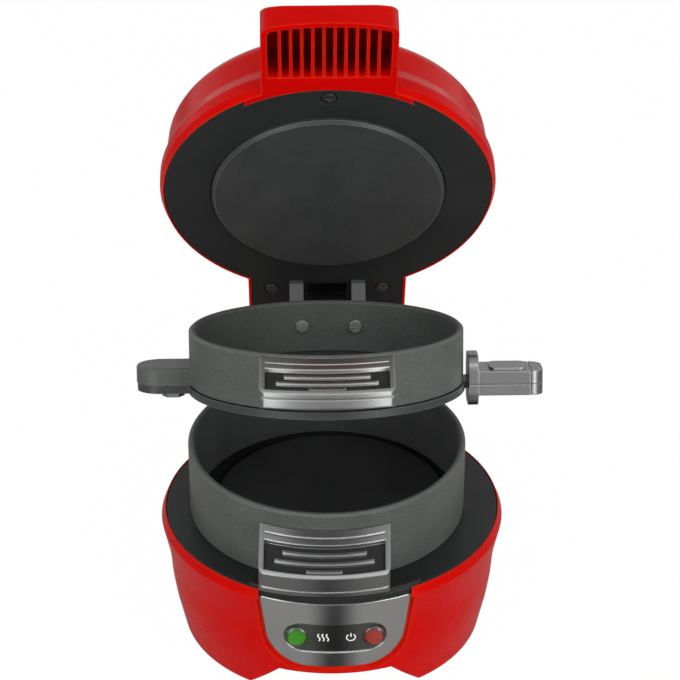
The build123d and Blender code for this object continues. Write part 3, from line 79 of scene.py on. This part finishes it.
def leaf_matrix(angle, turn):
    """A ring's own frame: turned about its axis, and open about the hinge."""
    pin = Vector((BASE_X + RING_X, HINGE.y, HINGE.z))
    return (Matrix.Translation(pin) @ Matrix.Rotation(-angle, 4, "X")
            @ Matrix.Translation((0, -HINGE_BACK, -HINGE.z)) @ Matrix.Rotation(turn, 4, "Z"))


# ---------------------------------------------------------------- camera
CAMERA_AZIMUTH = radians(-1.165)     # where the camera stands, seen from the base's centre
CAMERA_PITCH = radians(29.931)
CAMERA_PAN = radians(-0.239)
CAMERA_REACH = 0.825                 # level distance from the base's axis
CAMERA_RISE = 0.55225                # height above the deck
SENSOR = 36.0
LENS = 125.48


def make_camera():
    """The photograph's viewpoint: a long lens in front, looking down at about thirty degrees."""
    data = bpy.data.cameras.new("viewpoint")
    data.sensor_width = SENSOR
    data.lens = LENS
    data.clip_start = 0.05
    data.clip_end = 20.0
    camera = bpy.data.objects.new("viewpoint", data)
    camera.location = (BASE_X + CAMERA_REACH * sin(CAMERA_AZIMUTH),
                       BASE_Y - CAMERA_REACH * cos(CAMERA_AZIMUTH), DECK_Z + CAMERA_RISE)
    camera.rotation_euler = (pi / 2 - CAMERA_PITCH, 0, CAMERA_AZIMUTH + CAMERA_PAN)
    bpy.context.scene.collection.objects.link(camera)
    bpy.context.scene.camera = camera


# ---------------------------------------------------------------- node helpers
MIX_A, MIX_B, MIX_RESULT = 6, 7, 2   # the Mix node's sockets for colours


def fill(tree, node, inputs):
    """Fills a node's inputs with constants, or links them to other nodes' sockets."""
    for key, value in inputs.items():
        if isinstance(value, bpy.types.NodeSocket):
            tree.links.new(value, node.inputs[key])
        else:
            node.inputs[key].default_value = value


def add_node(tree, kind, inputs=None, **settings):
    """Adds a node, applies its settings and fills its inputs."""
    made = tree.nodes.new("ShaderNode" + kind)
    for name, value in settings.items():
        setattr(made, name, value)
    fill(tree, made, inputs or {})
    return made


def math_node(tree, operation, a, b=0.0):
    """One arithmetic step on two values."""
    return add_node(tree, "Math", {0: a, 1: b}, operation=operation).outputs[0]


def ramp(tree, value, low, high, out_low=0.0, out_high=1.0):
    """Maps a value's stretch from low to high onto out_low to out_high, held at both ends."""
    made = add_node(tree, "MapRange", {"Value": value, "From Min": low, "From Max": high,
                                       "To Min": out_low, "To Max": out_high})
    return made.outputs["Result"]


def mix_colour(tree, share, a, b):
    """Mixes two colours by a share."""
    made = add_node(tree, "Mix", {"Factor": share, MIX_A: a, MIX_B: b}, data_type="RGBA")
    return made.outputs[MIX_RESULT]


def new_group(name, inputs, outputs):
    """A shader node group with named float or vector sockets, and its two end nodes."""
    tree = bpy.data.node_groups.new(name, "ShaderNodeTree")
    kinds = {"float": "NodeSocketFloat", "vector": "NodeSocketVector"}
    for label, kind, default in inputs:
        made = tree.interface.new_socket(label, in_out="INPUT", socket_type=kinds[kind])
        made.default_value = default
    for label, kind in outputs:
        tree.interface.new_socket(label, in_out="OUTPUT", socket_type=kinds[kind])
    return tree, tree.nodes.new("NodeGroupInput"), tree.nodes.new("NodeGroupOutput")


def place_group(tree, group, **inputs):
    """Places a group in a material, with this material's own values; blanks are underscores."""
    made = tree.nodes.new("ShaderNodeGroup")
    made.node_tree = group
    fill(tree, made, {name.replace("_", " ").capitalize(): v for name, v in inputs.items()})
    return made


# ---------------------------------------------------------------- shared effects
def make_grain_group():
    """Moulded or blasted grain: two sizes of noise, as a height and as a cloudy mottle."""
    tree, given, put = new_group(
        "moulded_grain",
        [("Grain size", "float", 0.0006), ("Mottle size", "float", 0.03)],
        [("Height", "float"), ("Mottle", "float")])
    place = add_node(tree, "TexCoord").outputs["Object"]
    grain_scale = math_node(tree, "DIVIDE", 1.0, given.outputs["Grain size"])
    mottle_scale = math_node(tree, "DIVIDE", 1.0, given.outputs["Mottle size"])
    grain = add_node(tree, "TexNoise", {"Vector": place, "Scale": grain_scale, "Detail": 2.0})
    mottle = add_node(tree, "TexNoise", {"Vector": place, "Scale": mottle_scale, "Detail": 4.0,
                                         "Roughness": 0.6})
    tree.links.new(grain.outputs["Fac"], put.inputs["Height"])
    tree.links.new(ramp(tree, mottle.outputs["Fac"], 0.3, 0.7), put.inputs["Mottle"])
    return tree


def make_speckle_group():
    """Non-stick coating: fine light flecks scattered at random over a pebbled ground."""
    tree, given, put = new_group(
        "coating_speckle",
        [("Fleck size", "float", 0.0005), ("Share", "float", 0.3)],
        [("Fleck", "float"), ("Height", "float")])
    place = add_node(tree, "TexCoord").outputs["Object"]
    scale = math_node(tree, "DIVIDE", 1.0, given.outputs["Fleck size"])
    cells = add_node(tree, "TexVoronoi", {"Vector": place, "Scale": scale, "Randomness": 1.0})
    chance = add_node(tree, "SeparateColor", {"Color": cells.outputs["Color"]}).outputs["Red"]
    chosen = math_node(tree, "LESS_THAN", chance, given.outputs["Share"])
    centre = ramp(tree, cells.outputs["Distance"], 0.15, 0.45, 1.0, 0.0)
    tree.links.new(math_node(tree, "MULTIPLY", chosen, centre), put.inputs["Fleck"])
    tree.links.new(cells.outputs["Distance"], put.inputs["Height"])
    return tree


def make_edge_group():
    """Edge mask: how far a softly rounded normal turns away from the face's own normal."""
    tree, given, put = new_group(
        "edge_mask",
        [("Width", "float", 0.0006)],
        [("Edge", "float"), ("Normal", "vector")])
    soft = add_node(tree, "Bevel", {"Radius": given.outputs["Width"]}, samples=4)
    face = add_node(tree, "NewGeometry").outputs["Normal"]
    same = add_node(tree, "VectorMath", {0: soft.outputs["Normal"], 1: face},
                    operation="DOT_PRODUCT")
    tree.links.new(ramp(tree, same.outputs["Value"], 0.995, 0.85), put.inputs["Edge"])
    tree.links.new(soft.outputs["Normal"], put.inputs["Normal"])
    return tree


def make_handling_group():
    """Traces of use: wide faint smudges that dull the gloss."""
    tree, given, put = new_group(
        "handling",
        [("Smudge size", "float", 0.02)],
        [("Smudge", "float")])
    place = add_node(tree, "TexCoord").outputs["Object"]
    smudge_scale = math_node(tree, "DIVIDE", 1.0, given.outputs["Smudge size"])
    smudge = add_node(tree, "TexNoise", {"Vector": place, "Scale": smudge_scale, "Detail": 5.0,
                                         "Distortion": 1.2})
    tree.links.new(ramp(tree, smudge.outputs["Fac"], 0.42, 0.72), put.inputs["Smudge"])
    return tree


def make_disc_group():
    """Distance from an upright disc's centre on the front, as a share of its radius."""
    tree, given, put = new_group(
        "disc_distance",
        [("Centre", "vector", (0.0, 0.0, 0.0)), ("Radius", "float", 0.005)],
        [("Share", "float")])
    place = add_node(tree, "TexCoord").outputs["Object"]
    away = add_node(tree, "VectorMath", {0: place, 1: given.outputs["Centre"]},
                    operation="SUBTRACT").outputs["Vector"]
    flat = add_node(tree, "VectorMath", {0: away, 1: (1.0, 0.0, 1.0)},
                    operation="MULTIPLY").outputs["Vector"]
    length = add_node(tree, "VectorMath", {0: flat}, operation="LENGTH").outputs["Value"]
    tree.links.new(math_node(tree, "DIVIDE", length, given.outputs["Radius"]), put.inputs["Share"])
    return tree


GRAIN = make_grain_group()
SPECKLE = make_speckle_group()
EDGE = make_edge_group()
HANDLING = make_handling_group()
DISC = make_disc_group()


# ---------------------------------------------------------------- materials
def new_material(name):
    """An empty node material: its tree and its Principled shader."""
    material = bpy.data.materials.new(name)
    material.use_nodes = True
    tree = material.node_tree
    shader = tree.nodes["Principled BSDF"]
    return material, tree, shader


def set_shader(shader, **values):
    """Sets constants on the shader's own sockets; blanks are underscores."""
    for name, value in values.items():
        socket = name.replace("_", " ").title().replace("Ior", "IOR")
        shader.inputs[socket].default_value = value


def feed(tree, shader, colour, roughness=None, height=None, depth=0.0, normal=None):
    """Links the changing colour, roughness and bump of a surface to its shader."""
    tree.links.new(colour, shader.inputs["Base Color"])
    if roughness is not None:
        tree.links.new(roughness, shader.inputs["Roughness"])
    if height is not None:
        bump = add_node(tree, "Bump", {"Height": height, "Distance": depth, "Strength": 1.0})
        if normal is not None:
            tree.links.new(normal, bump.inputs["Normal"])
        tree.links.new(bump.outputs["Normal"], shader.inputs["Normal"])


def rgb(red, green, blue):
    """A linear colour with full alpha."""
    return (red, green, blue, 1.0)


def moulded(name, base, edge_glint, roughness, grain_size=0.0005, depth=0.00001, mottle=0.12,
            edge_width=0.0004, spread=0.05, metallic=0.0, specular=0.5, tint=(1.0, 1.0, 1.0)):
    """Moulded plastic: grain, faint mottling, smudged gloss and edges painted paler, a painted highlight."""
    material, tree, shader = new_material(name)
    set_shader(shader, ior=1.5, metallic=metallic, specular_ior_level=specular,
               specular_tint=rgb(*tint))
    grain = place_group(tree, GRAIN, grain_size=grain_size, mottle_size=0.025)
    edge = place_group(tree, EDGE, width=edge_width)
    use = place_group(tree, HANDLING)
    dark = rgb(*(c * (1.0 - mottle) for c in base))
    light = rgb(*(min(1.0, c * (1.0 + mottle)) for c in base))
    ground = mix_colour(tree, grain.outputs["Mottle"], dark, light)
    # edges turn towards the paler edge colour: a painted highlight
    share = math_node(tree, "MULTIPLY", edge.outputs["Edge"], 0.6)
    colour = mix_colour(tree, share, ground, rgb(*edge_glint))
    gloss = ramp(tree, use.outputs["Smudge"], 0.0, 1.0, roughness, roughness + spread)
    feed(tree, shader, colour, gloss, grain.outputs["Height"], depth, edge.outputs["Normal"])
    return material


def red_plastic():
    """Glossy red moulded plastic with a faint orange-peel surface."""
    return moulded("red_gloss", (0.50, 0.0015, 0.001), (0.90, 0.05, 0.012), 0.26,
                   grain_size=0.0035, depth=0.000008, mottle=0.05, edge_width=0.0008, spread=0.06,
                   specular=0.12, tint=(1.0, 0.20, 0.12))


def deck_plastic():
    """Charcoal heat-resistant plastic with a fine blasted grain."""
    return moulded("deck_black", (0.018, 0.0195, 0.019), (0.10, 0.11, 0.10), 0.42,
                   grain_size=0.0004, depth=0.00002, edge_width=0.0004, specular=0.12)


def grip_plastic():
    """Dark metallic grey plastic with a satin gloss."""
    return moulded("grip_grey", (0.19, 0.194, 0.19), (0.45, 0.46, 0.45), 0.30,
                   grain_size=0.0006, depth=0.000002, mottle=0.06, edge_width=0.0008,
                   metallic=0.94)


def recess_shade_plastic():
    """Near-black colour on the floor of the grips' recesses: painted shade."""
    return moulded("recess_painted_shade", (0.016, 0.0165, 0.016), (0.03, 0.03, 0.03), 0.5,
                   grain_size=0.0005, depth=0.00001, specular=0.15)


def label_plastic():
    """Darker metallic grey on the floor of the panel's recess."""
    return moulded("label_grey", (0.11, 0.115, 0.11), (0.2, 0.2, 0.2), 0.24, grain_size=0.0005,
                   depth=0.000002, mottle=0.05, edge_width=0.0002, metallic=0.9)


def print_white():
    """White pad printing of the pictograms."""
    return moulded("print_white", (0.80, 0.80, 0.78), (0.85, 0.85, 0.83), 0.5, grain_size=0.0002,
                   depth=0.000002, mottle=0.05, edge_width=0.00005)


def panel_plastic():
    """Metallic grey plastic of the control panel."""
    return moulded("panel_grey", (0.42, 0.435, 0.425), (0.78, 0.79, 0.78), 0.22,
                   grain_size=0.0005, depth=0.000002, mottle=0.05, edge_width=0.0006,
                   metallic=0.95)


def hinge_plastic():
    """Dark grey glass-filled plastic."""
    return moulded("hinge_dark", (0.055, 0.057, 0.056), (0.16, 0.16, 0.16), 0.42,
                   grain_size=0.0005, depth=0.00002)


def cover_plastic():
    """Black moulded plastic with a spark-eroded grain."""
    return moulded("cover_black", (0.022, 0.022, 0.023), (0.07, 0.07, 0.07), 0.55,
                   grain_size=0.0008, depth=0.00004)


def rubber():
    """Soft black rubber with a dusty bloom."""
    return moulded("rubber", (0.03, 0.03, 0.03), (0.08, 0.08, 0.08), 0.8, grain_size=0.0006,
                   depth=0.00003, mottle=0.25)


def ceramic():
    """White steatite with a sintered grain."""
    return moulded("ceramic", (0.78, 0.76, 0.70), (0.85, 0.83, 0.80), 0.5, grain_size=0.0007,
                   depth=0.00003, mottle=0.05)


def coated(name, base, fleck, roughness, share=0.35):
    """Aluminium under a speckled non-stick coating, painted paler along its edges as a painted highlight."""
    material, tree, shader = new_material(name)
    set_shader(shader, ior=1.5, specular_ior_level=0.25)
    spots = place_group(tree, SPECKLE, fleck_size=0.0004, share=share)
    grain = place_group(tree, GRAIN, grain_size=0.0012, mottle_size=0.02)
    edge = place_group(tree, EDGE, width=0.0005)
    dark = rgb(*(c * 0.86 for c in base))
    light = rgb(*(c * 1.1 for c in base))
    ground = mix_colour(tree, grain.outputs["Mottle"], dark, light)
    flecked = mix_colour(tree, spots.outputs["Fleck"], ground, rgb(*fleck))
    # paler along the edges: a painted highlight
    edge_glint_share = math_node(tree, "MULTIPLY", edge.outputs["Edge"], 0.45)
    colour = mix_colour(tree, edge_glint_share, flecked, rgb(0.30, 0.31, 0.30))
    gloss = ramp(tree, grain.outputs["Mottle"], 0.0, 1.0, roughness - 0.04, roughness + 0.05)
    feed(tree, shader, colour, gloss, spots.outputs["Height"], 0.00002, edge.outputs["Normal"])
    return material


def coated_ring():
    """The rings' speckled grey coating."""
    return coated("coated_ring", (0.072, 0.077, 0.073), (0.15, 0.16, 0.15), 0.42)


def coated_plate():
    """The heated plates' darker coating."""
    return coated("coated_plate", (0.035, 0.037, 0.036), (0.075, 0.08, 0.078), 0.36, share=0.25)


def bare_metal(name, base, roughness, tint=None):
    """Bare metal: drawn lines along X, cloudy tint and edges painted brighter, a painted highlight."""
    material, tree, shader = new_material(name)
    set_shader(shader, metallic=1.0)
    place = add_node(tree, "TexCoord").outputs["Object"]
    drawn = add_node(tree, "Mapping", {"Vector": place, "Scale": (1.0, 30.0, 30.0)})
    lines = add_node(tree, "TexNoise", {"Vector": drawn.outputs[0], "Scale": 120.0, "Detail": 3.0})
    grain = place_group(tree, GRAIN, grain_size=0.001, mottle_size=0.012)
    edge = place_group(tree, EDGE, width=0.0003)
    second = tint or tuple(c * 0.8 for c in base)
    ground = mix_colour(tree, grain.outputs["Mottle"], rgb(*base), rgb(*second))
    # brighter along the edges: a painted highlight
    share = math_node(tree, "MULTIPLY", edge.outputs["Edge"], 0.6)
    colour = mix_colour(tree, share, ground, rgb(*(min(1.0, c * 1.3) for c in base)))
    gloss = ramp(tree, lines.outputs["Fac"], 0.3, 0.7, roughness - 0.07, roughness + 0.1)
    feed(tree, shader, colour, gloss, lines.outputs["Fac"], 0.000005, edge.outputs["Normal"])
    return material


def steel():
    """Zinc-plated steel."""
    return bare_metal("steel", (0.56, 0.56, 0.55), 0.3)


def dark_screw():
    """Blackened steel of the visible fasteners."""
    return bare_metal("dark_screw", (0.20, 0.20, 0.19), 0.35)


def heater_steel():
    """Heater sheath, straw and blue with heat."""
    return bare_metal("heater_steel", (0.30, 0.28, 0.25), 0.42, tint=(0.16, 0.17, 0.22))


def shield_metal():
    """Thin bright aluminium sheet."""
    return bare_metal("shield_alu", (0.80, 0.81, 0.82), 0.25)


def lens_material(name, x, body, rim, glow, strength):
    """A translucent indicator lens: a dotted bright disc inside a dark rim."""
    material, tree, shader = new_material(name)
    set_shader(shader, coat_weight=0.5, coat_roughness=0.05, ior=1.49,
               emission_strength=strength, roughness=0.22)
    place = add_node(tree, "TexCoord").outputs["Object"]
    away = place_group(tree, DISC, centre=(BASE_X + x, 0.0, LIGHT_Z), radius=LIGHT_R)
    flat = add_node(tree, "Mapping", {"Vector": place, "Scale": (1.0, 0.0, 1.0)})
    dots = add_node(tree, "TexVoronoi", {"Vector": flat.outputs[0], "Scale": 950.0,
                                         "Randomness": 0.0})
    bead = ramp(tree, dots.outputs["Distance"], 0.1, 0.5, 1.0, 0.55)
    disc = ramp(tree, away.outputs["Share"], 0.62, 0.78, 1.0, 0.0)
    inner = math_node(tree, "MULTIPLY", bead, disc)
    colour = mix_colour(tree, inner, rgb(*rim), rgb(*body))
    # the emission: the lit lens's own light, and a painted glow on the unlit lens
    lit = mix_colour(tree, inner, rgb(*(c * 0.06 for c in glow)), rgb(*glow))
    feed(tree, shader, colour, None, bead, 0.00006)
    tree.links.new(lit, shader.inputs["Emission Color"])
    return material


def green_lens():
    """The lit green lens."""
    return lens_material("green_lens", -LIGHT_X, (0.03, 0.17, 0.006), (0.003, 0.030, 0.003),
                         (0.03, 0.20, 0.002), 0.6)


def red_lens():
    """The unlit red lens, with a faint painted glow."""
    return lens_material("red_lens", LIGHT_X, (0.32, 0.035, 0.02), (0.02, 0.004, 0.004),
                         (0.3, 0.02, 0.01), 0.08)


def lamp_glass():
    """Clear glass of the neon lamps, faintly smoked."""
    material, tree, shader = new_material("lamp_glass")
    set_shader(shader, transmission_weight=0.7, ior=1.47, metallic=0.0)
    grain = place_group(tree, GRAIN, grain_size=0.002, mottle_size=0.006)
    colour = mix_colour(tree, grain.outputs["Mottle"], rgb(0.9, 0.85, 0.78), rgb(0.8, 0.72, 0.6))
    gloss = ramp(tree, grain.outputs["Height"], 0.3, 0.7, 0.05, 0.12)
    feed(tree, shader, colour, gloss)
    return material


FINISHES = {
    "red_gloss": red_plastic(), "deck_black": deck_plastic(), "coated_plate": coated_plate(),
    "coated_ring": coated_ring(), "grip_grey": grip_plastic(), "panel_grey": panel_plastic(),
    "green_lens": green_lens(), "red_lens": red_lens(), "lamp_glass": lamp_glass(),
    "hinge_dark": hinge_plastic(), "steel": steel(), "dark_screw": dark_screw(),
    "heater_steel": heater_steel(), "shield_alu": shield_metal(), "ceramic": ceramic(),
    "rubber": rubber(), "cover_black": cover_plastic()}
# near-black floors in the grips' recesses: painted shade
RECESS_SHADE = recess_shade_plastic()
LABEL = label_plastic()
PRINT = print_white()

slot_of = {row["node"]: row["material_slot"] for row in frame["record"]["subparts"]}
body_of = {n: body for body, names in frame["record"]["behaviour"]["bodies"].items()
           for n in names}


def paint(piece, material):
    """Gives every material slot of a piece one material."""
    if not piece.data.materials:
        piece.data.materials.append(material)
    for index in range(len(piece.data.materials)):
        piece.data.materials[index] = material


for name, node in nodes.items():
    paint(node, FINISHES[slot_of[name]])


# ---------------------------------------------------------------- own pieces
def new_piece(name, points, faces, node, material):
    """Makes an object from arrays of points and faces, rides it on a node's body and paints it."""
    mesh = bpy.data.meshes.new(name)
    mesh.from_pydata(points.tolist(), [], faces.tolist())
    mesh.update()
    piece = bpy.data.objects.new(name, mesh)
    bpy.context.scene.collection.objects.link(piece)
    mesh.materials.append(material)
    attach(piece, body_of[node])
    return piece


def slab_faces(rows, columns):
    """Faces of a closed slab: an upper grid, a lower grid after it, and a wall round their rim.

    Point (i, j) of the upper grid has the number i * columns + j, and the lower grid's the same
    plus rows * columns. Each cell gives one face above and one below, turned the other way.
    They point outwards where the upper grid, seen from outside, has columns that run left and
    rows that run down, or both turned alike.
    """
    grid = np.arange(rows * columns).reshape(rows, columns)
    upper = np.stack([grid[:-1, :-1], grid[:-1, 1:], grid[1:, 1:], grid[1:, :-1]], axis=-1)
    upper = upper.reshape(-1, 4)
    rim = np.concatenate([grid[0, :-1], grid[:-1, -1], grid[-1, :0:-1], grid[:0:-1, 0]])
    after = np.roll(rim, -1)
    wall = np.stack([after, rim, rim + grid.size, after + grid.size], axis=-1)
    return np.concatenate([upper, upper[:, ::-1] + grid.size, wall])


def grip_recess_shade(name, node, ring_r, inner_top, matrix):
    """The floor of a grip's recess, near-black as painted shade: a thin slab over radius r and width x.

    r runs over the recess's stretch of the grip's reach, and x from one end to the other:
    y = -sqrt(r^2 - x^2), z = inner_top - fall * (r - ring_r) / reach - depth below the face.
    """
    rows, columns = 9, 33
    r, x = np.meshgrid(
        np.linspace(ring_r + RECESS_IN * GRIP_REACH, ring_r + RECESS_OUT * GRIP_REACH, rows),
        np.linspace(RECESS_HALF, -RECESS_HALF, columns), indexing="ij")
    z = inner_top - GRIP_FALL * (r - ring_r) / GRIP_REACH
    sides = [np.stack([x, -np.sqrt(r ** 2 - x ** 2), z - depth], axis=-1)
             for depth in (RECESS_TOP, RECESS_UNDER)]
    points = np.concatenate(sides).reshape(-1, 3)
    carried = points @ np.array(matrix.to_3x3()).T + np.array(matrix.translation)
    return new_piece(name, carried, slab_faces(rows, columns), node, RECESS_SHADE)


def panel_points(x, z, lift):
    """Points on the floor of the panel's shallow recess, lifted towards the front.

    The floor's radius grows with height: r = foot radius + lean * share of the panel's height,
    and y = -sqrt(r^2 - x^2) in front of the base's axis.
    """
    r = PANEL_LOW_R + PANEL_LEAN * (z - PANEL_LOW) / PANEL_HEIGHT - LABEL_DEPTH + lift
    x, z, r = np.broadcast_arrays(x, z, r)
    return np.stack([BASE_X + x, BASE_Y - np.sqrt(r ** 2 - x ** 2), z], axis=-1).reshape(-1, 3)


def label_inlay():
    """The dark floor of the panel's shallow recess.

    A stadium swept by columns: x = half length * sin(bend), and each column reaches up and down
    from the middle by sqrt(half height^2 - past^2), where past is how far x lies past the centre
    of the round end, or 0 between the ends.
    """
    rows = 9
    x = LABEL_HALF_L * np.sin(np.linspace(pi / 2, -pi / 2, 49))
    past = np.maximum(np.abs(x) - (LABEL_HALF_L - LABEL_HALF_H), 0.0)
    reach = np.maximum(np.sqrt(np.maximum(LABEL_HALF_H ** 2 - past ** 2, 0.0)), 0.02 * MM)
    z = LABEL_Z + np.linspace(1.0, -1.0, rows)[:, None] * reach
    points = np.concatenate([panel_points(x, z, lift) for lift in (0.05 * MM, -0.05 * MM)])
    return new_piece("panel_label", points, slab_faces(rows, len(x)), "control_panel", LABEL)


def stroke(path, width):
    """Points and faces of a printed line: the (x, z) path moved half a width to both sides."""
    run = np.gradient(path, axis=0)
    run /= np.linalg.norm(run, axis=1)[:, None]
    across = np.stack([-run[:, 1], run[:, 0]], axis=1) * width / 2
    edges = np.stack([path - across, path + across])
    points = np.concatenate([panel_points(edges[..., 0], edges[..., 1], lift)
                             for lift in (0.10 * MM, 0.02 * MM)])
    return points, slab_faces(2, len(path))


def printed(name, paths, width):
    """Several printed lines as one piece on the control panel."""
    shapes = [stroke(path, width) for path in paths]
    starts = np.cumsum([0] + [len(points) for points, _ in shapes])
    points = np.concatenate([points for points, _ in shapes])
    faces = np.concatenate([faces + start for (_, faces), start in zip(shapes, starts)])
    return new_piece(name, points, faces, "control_panel", PRINT)


def heat_pictogram():
    """Three upright wavy lines, each x = a * sin(2 pi t) over its height t."""
    t = np.linspace(0.0, 1.0, 25)
    wave = 0.42 * MM * np.sin(2 * pi * t)
    z = LIGHT_Z - 2.0 * MM + 3.8 * MM * t
    paths = [np.stack([x * MM + wave, z], axis=1) for x in (-6.6, -4.9, -3.2)]
    return printed("heat_pictogram", paths, 0.5 * MM)


def power_pictogram():
    """An open ring, x = cx + a * cos(turn), z = cz + a * sin(turn), with a bar in its gap."""
    centre_x, centre_z = 6.2 * MM, LIGHT_Z - 0.25 * MM
    turn = np.linspace(radians(125), radians(415), 41)
    ring = np.stack([centre_x + 1.75 * MM * np.cos(turn),
                     centre_z + 1.75 * MM * np.sin(turn)], axis=1)
    bar = np.stack([np.full(5, centre_x),
                    np.linspace(centre_z + 0.3 * MM, centre_z + 2.3 * MM, 5)], axis=1)
    return printed("power_pictogram", [ring, bar], 0.45 * MM)


grip_recess_shade("lower_grip_recess_shade", "lower_ring_grip", LOWER_R, LOWER_GRIP_TOP,
           leaf_matrix(0.0, LOWER_GRIP_TURN))
grip_recess_shade("upper_grip_recess_shade", "upper_ring_grip", UPPER_R, UPPER_GRIP_TOP,
           leaf_matrix(UPPER_OPEN, UPPER_GRIP_TURN))
label_inlay()
heat_pictogram()
power_pictogram()

# ---------------------------------------------------------------- floor and light
FLOOR_HALF = 3.0
FLOOR_WHITE = 0.99                   # the floor's own white; the rest is lit and takes the shadow
FLOOR_GREY = (0.82, 0.82, 0.82)
WEDGE_DARK = (0.01, 0.01, 0.01)      # the floor in reflections, a painted reflection: a dark wedge on half white
WEDGE_PALE = (0.50, 0.50, 0.50)
WEDGE_EDGE = (0.05, 0.22)            # where it fades, sideways over forwards
WORLD_LIGHT = 0.36                   # the world's even light on the object


def seen_mask(tree, *rays):
    """1 for the camera, through glass, and for the other kinds of ray that are named."""
    path = add_node(tree, "LightPath")
    seen = math_node(tree, "MAXIMUM", path.outputs["Is Camera Ray"],
                     path.outputs["Is Transmission Ray"])
    for ray in rays:
        seen = math_node(tree, "MAXIMUM", seen, path.outputs[ray])
    return seen


def studio_floor():
    """A wide floor: white for the camera and through glass, and half white in reflections, with a
    dark wedge that opens forwards from the base's axis: a painted reflection in place of a flag beneath a
    lens."""
    corners = [(-FLOOR_HALF, -FLOOR_HALF, 0), (FLOOR_HALF, -FLOOR_HALF, 0),
               (FLOOR_HALF, FLOOR_HALF, 0), (-FLOOR_HALF, FLOOR_HALF, 0)]
    mesh = bpy.data.meshes.new("studio_floor")
    mesh.from_pydata(corners, [], [(0, 1, 2, 3)])
    floor = bpy.data.objects.new("studio_floor", mesh)
    bpy.context.scene.collection.objects.link(floor)
    material, tree, shader = new_material("studio_floor")
    set_shader(shader, roughness=0.9, specular_ior_level=0.0)
    place = add_node(tree, "TexCoord").outputs["Object"]
    apart = add_node(tree, "SeparateXYZ", {0: place})
    across = math_node(tree, "ABSOLUTE", math_node(tree, "SUBTRACT", apart.outputs["X"], BASE_X))
    ahead = math_node(tree, "SUBTRACT", BASE_Y, apart.outputs["Y"])
    ahead = math_node(tree, "MAXIMUM", ahead, MM)
    wedge = ramp(tree, math_node(tree, "DIVIDE", across, ahead), *WEDGE_EDGE)
    # what reflections see of the floor: a painted reflection, dark in the wedge
    painted_reflection = mix_colour(tree, wedge, rgb(*WEDGE_DARK), rgb(*WEDGE_PALE))
    glossy = add_node(tree, "LightPath").outputs["Is Glossy Ray"]
    own = mix_colour(tree, glossy, rgb(*FLOOR_GREY), painted_reflection)
    tree.links.new(own, shader.inputs["Base Color"])
    glow = add_node(tree, "Emission", {"Color": rgb(1, 1, 1), "Strength": 1.0})
    share = math_node(tree, "MULTIPLY", seen_mask(tree), FLOOR_WHITE)
    both = add_node(tree, "MixShader", {0: share, 1: shader.outputs[0], 2: glow.outputs[0]})
    tree.links.new(both.outputs[0], tree.nodes["Material Output"].inputs["Surface"])
    mesh.materials.append(material)


def studio_world():
    """White for the camera, through glass and in reflections, and an even light on the object."""
    world = bpy.data.worlds.new("studio")
    world.use_nodes = True
    bpy.context.scene.world = world
    tree = world.node_tree
    back = tree.nodes["Background"]
    back.inputs["Color"].default_value = rgb(1, 1, 1)
    strength = math_node(tree, "MAXIMUM", seen_mask(tree, "Is Glossy Ray"), WORLD_LIGHT)
    tree.links.new(strength, back.inputs["Strength"])


# each softbox: its place, its width and height, and its power in watts
SOFTBOXES = {
    "top_left_softbox": ((-0.75, -0.15, 1.25), (0.8, 1.1), 1.5),
    "top_right_softbox": ((0.75, -0.15, 1.25), (0.8, 1.1), 1.5),
    "front_strip": ((BASE_X, -0.65, 1.05), (1.2, 0.35), 3),
    "left_softbox": ((-0.80, -1.00, 0.40), (0.5, 1.1), 7.5),
    "right_softbox": ((0.80, -1.00, 0.40), (0.5, 1.1), 10)}


def studio_lights():
    """Two dim top lights with a dark gap between them, a front strip high above the camera, and
    two tall softboxes beside it, all turned to the object's middle."""
    aim = Vector((BASE_X, BASE_Y, 0.1))
    for name, (place, size, power) in SOFTBOXES.items():
        data = bpy.data.lights.new(name, "AREA")
        data.shape = "RECTANGLE"
        data.size, data.size_y = size
        data.energy = power
        lamp = bpy.data.objects.new(name, data)
        lamp.location = place
        lamp.rotation_euler = (aim - Vector(place)).to_track_quat("-Z", "Y").to_euler()
        bpy.context.scene.collection.objects.link(lamp)


make_camera()
studio_floor()
studio_world()
studio_lights()
view = bpy.context.scene.view_settings
view.view_transform = "Standard"
